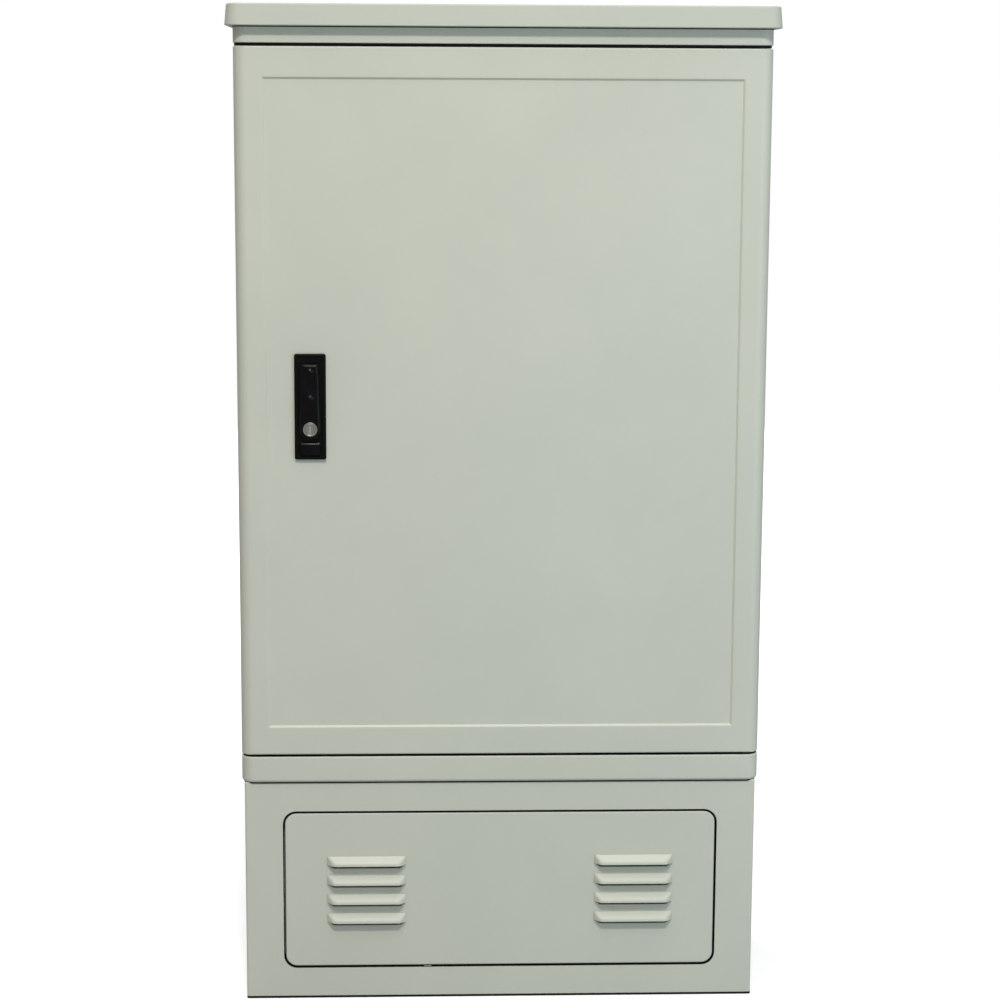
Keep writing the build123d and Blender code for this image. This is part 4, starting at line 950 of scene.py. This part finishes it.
# %% Lay the gasket round the opening
seal_low, seal_high = node_box("door_gasket")
seal_front, seal_back = seal_low[1], seal_high[1]
seal_wide, flange, flange_edge, bulb_half, bulb_rise = 14.0, seal_back - 1.1, seal_back - 0.7, 4.4, 2.4
bulb = np.radians(np.linspace(-20, 200, 15))
bulb_y = seal_front + bulb_rise - bulb_rise * np.sin(bulb)
seal_rows = np.vstack([
    np.stack([seal_wide / 2 + bulb_half * np.cos(bulb), bulb_y], axis=1),
    [(2.4, flange), (0.4, flange), (0.0, flange_edge), (0.0, seal_back)],
    [(seal_wide, seal_back), (seal_wide, flange_edge), (13.6, flange), (11.6, flange)],
])
seal_shape = stack(front_of("door_gasket"), seal_rows, 4.0, FACING, ring=True, least=1.0)
settle(put("door_seal", seal_shape, rubber_and_painted_shade), "cabinet", "gasket", "door_gasket")

# %% [markdown]
# ## Document pocket
# A vacuum-formed pocket on the door's inside, open at the top. It is a stack along Z: over the
# outside, across the rim and down the inside again, so that its wall has a real thickness.

# %% Form the pocket
pocket_low, pocket_high = node_box("document_pocket")
pocket_floor, brim = pocket_low[2], pocket_high[2]
pocket_wall, brim_ease = 2.0, 0.5
pocket_rows = np.vstack([
    lower_edge(pocket_floor, 4.0),
    [(0.0, brim - brim_ease), (brim_ease, brim), (pocket_wall - brim_ease, brim)],
    [(pocket_wall, brim - brim_ease), (pocket_wall, pocket_floor + 6.0), (4.0, pocket_floor + 3.0)],
])
pocket = put("paper_pocket", stack(plan_of("document_pocket"), pocket_rows, 5.0, PLAN), pocket_plastic)
settle(even_normals(pocket), "door", "pocket", "document_pocket")

# %% [markdown]
# ## Painted shade over the door
# The slot between the top frame and the door shows black. A strip of soft black rubber hangs from the
# frame there: painted shade, a dark sheet that stands in for the shadow in the slot. It follows the
# case's rounded corners and leaves a millimetre of air over the door, which has to swing past under it.

# %% Hang the strip of painted shade
pin_clear = 9.0


def pierced_shade_strip(name, half, y_range, z_range, corner, rod_spot):
    """A flat black rubber strip of painted shade across the case, pierced for a lock rod and for the pivot.
    """
    low, high = ((sign * half, y, z) for sign, y, z in zip((-1, 1), y_range, z_range))
    strip = put(name, block(low, high, corner, steps=6), rubber_and_painted_shade)
    cut(strip, keeper_hole(rod_spot, *z_range), round_bar(pivot, pin_clear, past(*z_range)))
    return settle(strip, "cabinet", "gasket")


strip_y, strip_z = (front + 7.5, rim + 4.5), (head_z - 3.4, head_z + 0.2)
# Painted shade: a black strip that stands in for the shadow in the slot over the door.
pierced_shade_strip("head_shade_strip", case_half - 1.2, strip_y, strip_z, 16.2, upper_spot)

# %% [markdown]
# ## Painted shade in the joints
# Every joint of the shell shows as a black line: under the eave, under the door, between sill
# and plinth, round the hatch and where the plinth stands on its base. Black rubber is laid in each
# of them as painted shade, dark sheets that stand in for the shadow in the gaps. The strips are thin
# rings and one flat mat, all clear of whatever moves past them. The one under the eave hangs with it
# in the middle.

# %% Lay the strips of painted shade
def shade_ring(name, outline, rows, corner, axes, body="cabinet"):
    """A black rubber ring of painted shade: one small section carried round an outline."""
    return settle(put(name, stack(outline, rows, corner, axes, ring=True), rubber_and_painted_shade), body, "gasket")


# Painted shade: a black mat on the sill deck stands in for the shadow under the door.
mat_y, mat_z = (front + 2.6, rim - 0.5), (deck_z - 0.1, deck_z + 0.6)
pierced_shade_strip("sill_shade_mat", case_half - 2.5, mat_y, mat_z, 15.5, lower_spot)

# Painted shade: this strip stands in for the shadow line under the eave.
eave_rows = [
    (0.6, eave_z - 1.6), (-0.4, eave_z - 1.4), (-0.4, eave_z - 0.1),
    (3.0, eave_z - 0.1), (3.0, eave_z - 1.6),
]
eave_points, eave_faces = stack(case_outline, eave_rows, case_corner, PLAN, ring=True)
eave_points[:, 2] -= eave_sag(eave_points)
settle(put("eave_shade_strip", (eave_points, eave_faces), rubber_and_painted_shade), "cabinet", "gasket")

# Painted shade: this ring stands in for the shadow line between sill and plinth.
joint_rows = [
    (3.6, sill_z - 1.8), (2.8, sill_z - 1.5), (2.8, sill_z + 0.6),
    (5.0, sill_z + 0.6), (5.0, sill_z - 1.8),
]
shade_ring("sill_shade_strip", case_outline, joint_rows, case_corner, PLAN)
# Painted shade: the base strip stands in for the contact shadow where the plinth meets the floor.
base_rows = [(0.2, 0.0), (-0.2, 0.2), (-0.2, 3.4), (3.0, 3.4), (3.0, 0.0)]
shade_ring("base_shade_strip", plinth_outline, base_rows, plinth_corner, PLAN)

# Painted shade: lining and trim stand in for the shadow in the hatch's gap.
lining_section = np.array([(-0.2, 0.3), (-0.2, 17.0), (0.5, 17.0), (0.5, 0.3)])
shade_ring("hatch_shade_lining", opening, lining_section + (0.0, plinth_front), opening_corner, FACING)
trim_section = np.array([(0.5, 0.7), (-0.6, 1.2), (-0.6, 16.0), (0.6, 16.0), (0.6, 0.9)])
shade_ring("hatch_shade_trim", hatch_outline, trim_section + (0.0, plinth_front), hatch_corner, FACING, "hatch")

# %% [markdown]
# ## Rack uprights
# Each upright is a folded channel, open to the back, with a row of fixing holes down its web.
# All holes are one cutter: a single round bar, copied to a list of spots in one step.

# %% Fold and punch the uprights
def copies(shape, places):
    """One shape set down at every place: its points plus each place, and its faces counted on."""
    points, faces = shape
    moved = (points[None] + np.asarray(places, float)[:, None] * MM).reshape(-1, 3)
    onward = np.arange(len(places))[:, None, None] * len(points)
    return moved, [(kind[None] + onward).reshape(-1, kind.shape[1]) for kind in faces]


channel_sheet, channel_open, hole_radius, hole_pitch = 2.5, 10.0, 4.2, 25.0
for side in ("left", "middle", "right"):
    low, high = node_box("upright_" + side)
    channel = put("rack_upright_" + side, block(low, high, 1.8, steps=3), zinc)
    hollow = block(
        (low[0] + channel_sheet, low[1] + channel_sheet, low[2] - channel_open),
        (high[0] - channel_sheet, high[1] + channel_open, high[2] + channel_open), 0.8, steps=2,
    )
    hole = round_bar((0, 0), hole_radius, past(low[1], low[1] + channel_sheet), FACING, steps=3)
    levels = np.arange(low[2] + 18.0, high[2] - 12.0, hole_pitch)
    cut(channel, hollow, copies(hole, spots((low[0] + high[0]) / 2, 0.0, levels)))
    settle(even_normals(channel), "cabinet", "zinc_sheet", "upright_" + side)

# %% [markdown]
# ## Tray fronts
# Every tray ends in six adapter blocks with four fibre ports each, all closed by dust caps, and
# a thin frame round its front. The blocks are the usual green of angled connectors. There are
# 288 caps, so one cap has only a few dozen faces.

# %% Frame the trays
def together(*shapes):
    """Several shapes as one shape."""
    starts = np.cumsum([0] + [len(points) for points, _ in shapes[:-1]])
    faces = [kind + first for (_, kinds), first in zip(shapes, starts) for kind in kinds]
    return np.concatenate([points for points, _ in shapes]), faces


tray_names = [f"tray_{level}_{number}" for level in ("lower", "upper") for number in range(1, 7)]
tray_boxes = np.array([node_box(name) for name in tray_names])
tray_left, tray_right = tray_boxes[0, :, 0]
tray_z = tray_boxes[:, 0, 2]
adapter_y, adapter_reach = tray_boxes[0, 0, 1], 18.0
tray_y = adapter_y + adapter_reach
frame_seat, frame_wide = tray_y + 0.1, 3.0
frame_rows = [
    (0.8, tray_y - 2.0), (0.0, tray_y - 1.4), (0.0, frame_seat),
    (frame_wide, frame_seat), (frame_wide, tray_y - 1.4), (2.2, tray_y - 2.0),
]
frame_outline = (tray_left + 16.0, tray_right - 1.0, 1.0, 30.0)
tray_frame = stack(frame_outline, frame_rows, 2.0, FACING, ring=True, least=0.4, steps=2)
latch_low, latch_high = (tray_right - 13.0, tray_y - 7.0, 9.0), (tray_right - 5.0, frame_seat, 22.0)
latch = block(latch_low, latch_high, 1.5, steps=2)
fronts = copies(together(tray_frame, latch), spots(0.0, 0.0, tray_z))
settle(put("tray_fronts", fronts, tray_grey), "cabinet", "tray")

# %% [markdown]
# ## Adapters and dust caps
# One block and one cap are drawn about their own middle, and copied to all trays at once.

# %% Set the adapters and their caps
adapter_green = plastic("adapter_green", (0.030, 0.210, 0.095), (0.020, 0.160, 0.070), 0.06, 40.0)
cap_pale = plastic("dust_cap", (0.62, 0.63, 0.62), (0.54, 0.55, 0.54), 0.05, 60.0)
adapter_count, adapter_pitch, adapter_shift, adapter_rise = 6, 60.0, 12.0, 15.5
adapter_row = (np.arange(adapter_count) - (adapter_count - 1) / 2) * adapter_pitch
adapter_x = (tray_left + tray_right) / 2 + adapter_shift + adapter_row
adapter_spots = spots(adapter_x, 0.0, tray_z[:, None] + adapter_rise)
adapter_face = -adapter_y
adapter_rows = [(0.0, -tray_y - 0.1), (0.0, adapter_face - 0.3), (0.6, adapter_face + 0.2)]
adapter = stack((-26.1, 26.1, -5.7, 5.7), adapter_rows, 1.0, OUTWARD, least=0.4, steps=2)
settle(put("fibre_adapters", copies(adapter, adapter_spots), adapter_green), "cabinet", "tray")

port_x = np.array([-19.2, -6.4, 6.4, 19.2])
port_spots = (adapter_spots[:, None] + spots(port_x, 0.0, 0.0)).reshape(-1, 3)
dust_cap_rows = [
    (0.0, adapter_face), (0.0, adapter_face + 3.2), (0.8, adapter_face + 3.8),
    (0.8, adapter_face + 6.4), (1.4, adapter_face + 7.0),
]
dust_cap = stack((-4.6, 4.6, -3.9, 3.9), dust_cap_rows, 1.2, OUTWARD, least=0.5, steps=1)
settle(put("dust_caps", copies(dust_cap, port_spots), cap_pale), "cabinet", "tray")

# %% [markdown]
# ## Spools, grommets and earth bar
# The spools carry spare fibre: a drum with a round-edged flange and a hollow front. The blind
# grommets close the cable entries with a stepped membrane that is cut open when a cable is
# pulled in. All are turned shapes; the earth bar is a plain copper flat with eased edges.

# %% Turn the spools and grommets, shape the earth bar
spool_low, spool_high = node_box("store_spools")
spool_x, flange_radius = (spool_low[0] + spool_high[0]) / 2, (spool_high[0] - spool_low[0]) / 2
spool_z = np.linspace(spool_low[2] + flange_radius, spool_high[2] - flange_radius, 4)
spool_front, spool_back = -spool_low[1], -spool_high[1]
spool_rows = np.vstack([
    [(36.0, spool_back), (36.0, spool_front - 5.0), (36.6, spool_front - 3.6), (38.0, spool_front - 3.0)],
    [(48.5, spool_front - 3.0), (49.6, spool_front - 2.5), (50.0, spool_front - 1.5)],
    [(49.6, spool_front - 0.5), (48.5, spool_front), (32.5, spool_front)],
    [(31.4, spool_front - 0.5), (31.0, spool_front - 1.6), (30.0, spool_front - 14.0)],
])
spool = turned(spool_rows, OUTWARD, steps=48)
spools = put("fibre_spools", copies(spool, spots(spool_x, 0.0, spool_z)), spool_plastic)
settle(spools, "cabinet", "spool", "store_spools")

grommet_low, grommet_high = node_box("cable_grommets")
grommet_radius, grommet_y = 30.0, (grommet_low[1] + grommet_high[1]) / 2
grommet_x = np.linspace(grommet_low[0] + grommet_radius, grommet_high[0] - grommet_radius, 4)
grommet_rows = np.array([
    (21.0, 0.0), (23.2, 1.5), (23.2, 8.0), (grommet_radius, 8.0), (grommet_radius, 11.0),
    (28.6, 13.0), (24.0, 13.0), (22.5, 11.0), (16.0, 11.0), (15.2, 12.2), (9.0, 12.2),
    (8.4, 13.0), (2.0, 13.0),
]) + (0.0, grommet_low[2])
grommet = turned(grommet_rows, PLAN, steps=36)
grommets = put("blind_grommets", copies(grommet, spots(grommet_x, grommet_y, 0.0)), rubber_and_painted_shade)
settle(grommets, "cabinet", "gasket", "cable_grommets")

earth_low, earth_high = node_box("earth_bar")
earth_front, earth_back, earth_ease = -earth_low[1], -earth_high[1], 0.7
earth_rows = [
    (earth_ease, earth_back), (0.0, earth_back + earth_ease),
    (0.0, earth_front - earth_ease), (earth_ease, earth_front),
]
earth_shape = stack(front_of("earth_bar"), earth_rows, 1.2, OUTWARD, least=0.6, steps=2)
settle(even_normals(put("earth_flat", earth_shape, copper)), "cabinet", "earth", "earth_bar")

# %% [markdown]
# ## Screws
# A screw head is a turned shape with a washer under it and a hollow for the driver. The same
# shape serves everywhere: it faces the door on bars and plates, upwards on the entry plate and
# inwards on the lock's clamp.

# %% Set the screws
screw_rows = [
    (5.5, -0.1), (5.5, 0.9), (5.2, 1.1), (4.0, 1.1),
    (4.0, 2.6), (3.2, 3.7), (2.3, 3.9), (2.1, 2.4),
]


def screws(name, axes, places, body="cabinet"):
    """One screw head at every place, all facing along the third of the axes."""
    heads = copies(turned(screw_rows, axes, steps=12), places)
    return settle(put(name, heads, bright), body, "bright_steel")


bar_y, bar_z = node_box("clamp_bar")[0][1], middle_of("clamp_bar")[2]
saddle_y, saddle_z = node_box("cable_clamps")[0][1], middle_of("cable_clamps")[2]
plate_low, plate_high = node_box("store_plate")
bar_screw_x, plate_screw_x = (-320.0, -300.0, 92.5, 106.5, 314.0, 330.0), np.array([108.0, 331.0])
saddle_half, plate_margin, earth_margin, clamp_margin = 14.0, 20.0, 50.0, 6.5
plate_screw_z = np.linspace(plate_low[2] + plate_margin, plate_high[2] - plate_margin, 4)
front_places = np.vstack([
    spots(bar_screw_x, bar_y, bar_z),
    spots(grommet_x[:, None] + (-saddle_half, saddle_half), saddle_y, saddle_z),
    spots(plate_screw_x[:, None], plate_low[1], plate_screw_z),
])
screws("front_screws", OUTWARD, front_places)

earth_screw_x = np.linspace(earth_low[0] + earth_margin, earth_high[0] - earth_margin, 12)
screws("earth_screws", OUTWARD, spots(earth_screw_x, earth_low[1], (earth_low[2] + earth_high[2]) / 2))

entry_top = node_box("entry_plate")[1][2]
deck_x, deck_y = np.array([-300.0, -130.0, 0.0, 130.0, 300.0]), (-80.0, 80.0)
screws("deck_screws", PLAN, spots(deck_x[:, None], deck_y, entry_top))

clamp_low, clamp_high = node_box("lock_clamp")
clamp_x = np.array([clamp_low[0] + clamp_margin, clamp_high[0] - clamp_margin])
clamp_z = (clamp_low[2] + clamp_margin, clamp_high[2] - clamp_margin)
screws("clamp_screws", FACING, spots(clamp_x[:, None], clamp_high[1], clamp_z), "door")

# %% [markdown]
# ## Floor and surround
# A pale floor and a white surround stand for the studio. White walls would fill every shadow,
# so both are bright for the camera alone and dimmer for the light that they throw back. Away
# from the cabinet the floor glows more and more, until it cannot be told from the surround.

# %% Lay the floor, set the surround
def switch_by_ray(tree, others, camera_rays):
    """A shader socket that gives camera rays one shader and all other rays another."""
    choice = add(tree, "ShaderNodeMixShader")
    is_camera = add(tree, "ShaderNodeLightPath").outputs["Is Camera Ray"]
    for socket, source in zip(choice.inputs, (is_camera, others, camera_rays)):
        tree.links.new(source, socket)
    return choice.outputs[0]


floor_half, floor_z, glow_start, glow_end = 6.0, -0.0002, 1.2, 3.0
floor_material = finish(
    "pale_floor", mottle, ((0.86, 0.86, 0.86), (0.83, 0.83, 0.83)),
    {"Scale": 3.0, "Low roughness": 0.7, "High roughness": 0.9}, 0.02,
)
tree = floor_material.node_tree
seen_floor = tree.nodes["Principled BSDF"]
seen_floor.inputs["Emission Strength"].default_value = 1.0
place = add(tree, "ShaderNodeTexCoord").outputs["Object"]
distance = add(tree, "ShaderNodeVectorMath", {"operation": "LENGTH"}, Vector=place).outputs["Value"]
glow = blend_colours(tree, spread(tree, distance, glow_start, glow_end), (0.3, 0.3, 0.3, 1), (1, 1, 1, 1))
tree.links.new(glow, seen_floor.inputs["Emission Color"])
dim_floor = add(tree, "ShaderNodeBsdfDiffuse", Color=(0.36, 0.36, 0.36, 1))
floor_surface = switch_by_ray(tree, dim_floor.outputs[0], seen_floor.outputs[0])
tree.links.new(floor_surface, tree.nodes["Material Output"].inputs["Surface"])
floor_x, floor_y = np.array([(-1, 1, 1, -1), (-1, -1, 1, 1)]) * floor_half
floor_corners = spots(floor_x, floor_y, floor_z)
floor = put("floor", (floor_corners, [np.array([[0, 1, 2, 3]])]), floor_material)

world = bpy.data.worlds.new("white_room")
bpy.context.scene.world = world
world.use_nodes = True
sky = world.node_tree
surround = sky.nodes["Background"]
surround.inputs["Color"].default_value = (0.90, 0.94, 0.96, 1)
surround.inputs["Strength"].default_value = 0.41
backdrop = add(sky, "ShaderNodeBackground", Color=(1, 1, 1, 1), Strength=1.0)
room = switch_by_ray(sky, surround.outputs[0], backdrop.outputs[0])
sky.links.new(room, sky.nodes["World Output"].inputs[0])
bpy.context.scene.view_settings.view_transform = "Standard"
print("floor of", 2 * floor_half, "m and a", world.name)

# %% [markdown]
# ## Lamps
# One lamp above and in front gives the eave its shadow on the top frame, a broad one overhead
# softens it, a weak cool one stands at the right, and one behind serves the views from the back.

# %% Light the scene
def lamp(name, spot, aim, size, power, colour):
    """A square area lamp at a spot, aimed at a point."""
    data = bpy.data.lights.new(name, "AREA")
    data.shape, data.size, data.energy, data.color = "SQUARE", size, power, colour
    light = bpy.data.objects.new(name, data)
    towards = (Vector(aim) - Vector(spot)).to_track_quat("-Z", "Y").to_matrix().to_4x4()
    light.matrix_world = Matrix.Translation(spot) @ towards
    bpy.context.collection.objects.link(light)
    return light


lamp("key", (0.05, -4.20, 5.40), (0.0, 0.0, 1.0), 0.6, 208.0, (1.0, 0.985, 0.945))
lamp("ceiling", (0.0, -1.6, 5.2), (0.0, -0.6, 0.0), 3.0, 62.0, (1.0, 1.0, 0.98))
lamp("cool_side", (2.3, -2.7, 0.9), (0.35, 0.0, 0.7), 1.2, 29.0, (0.58, 0.82, 1.0))
lamp("behind", (-1.6, 3.2, 2.6), (0.0, 0.0, 0.8), 1.6, 60.0, (1.0, 1.0, 1.0))
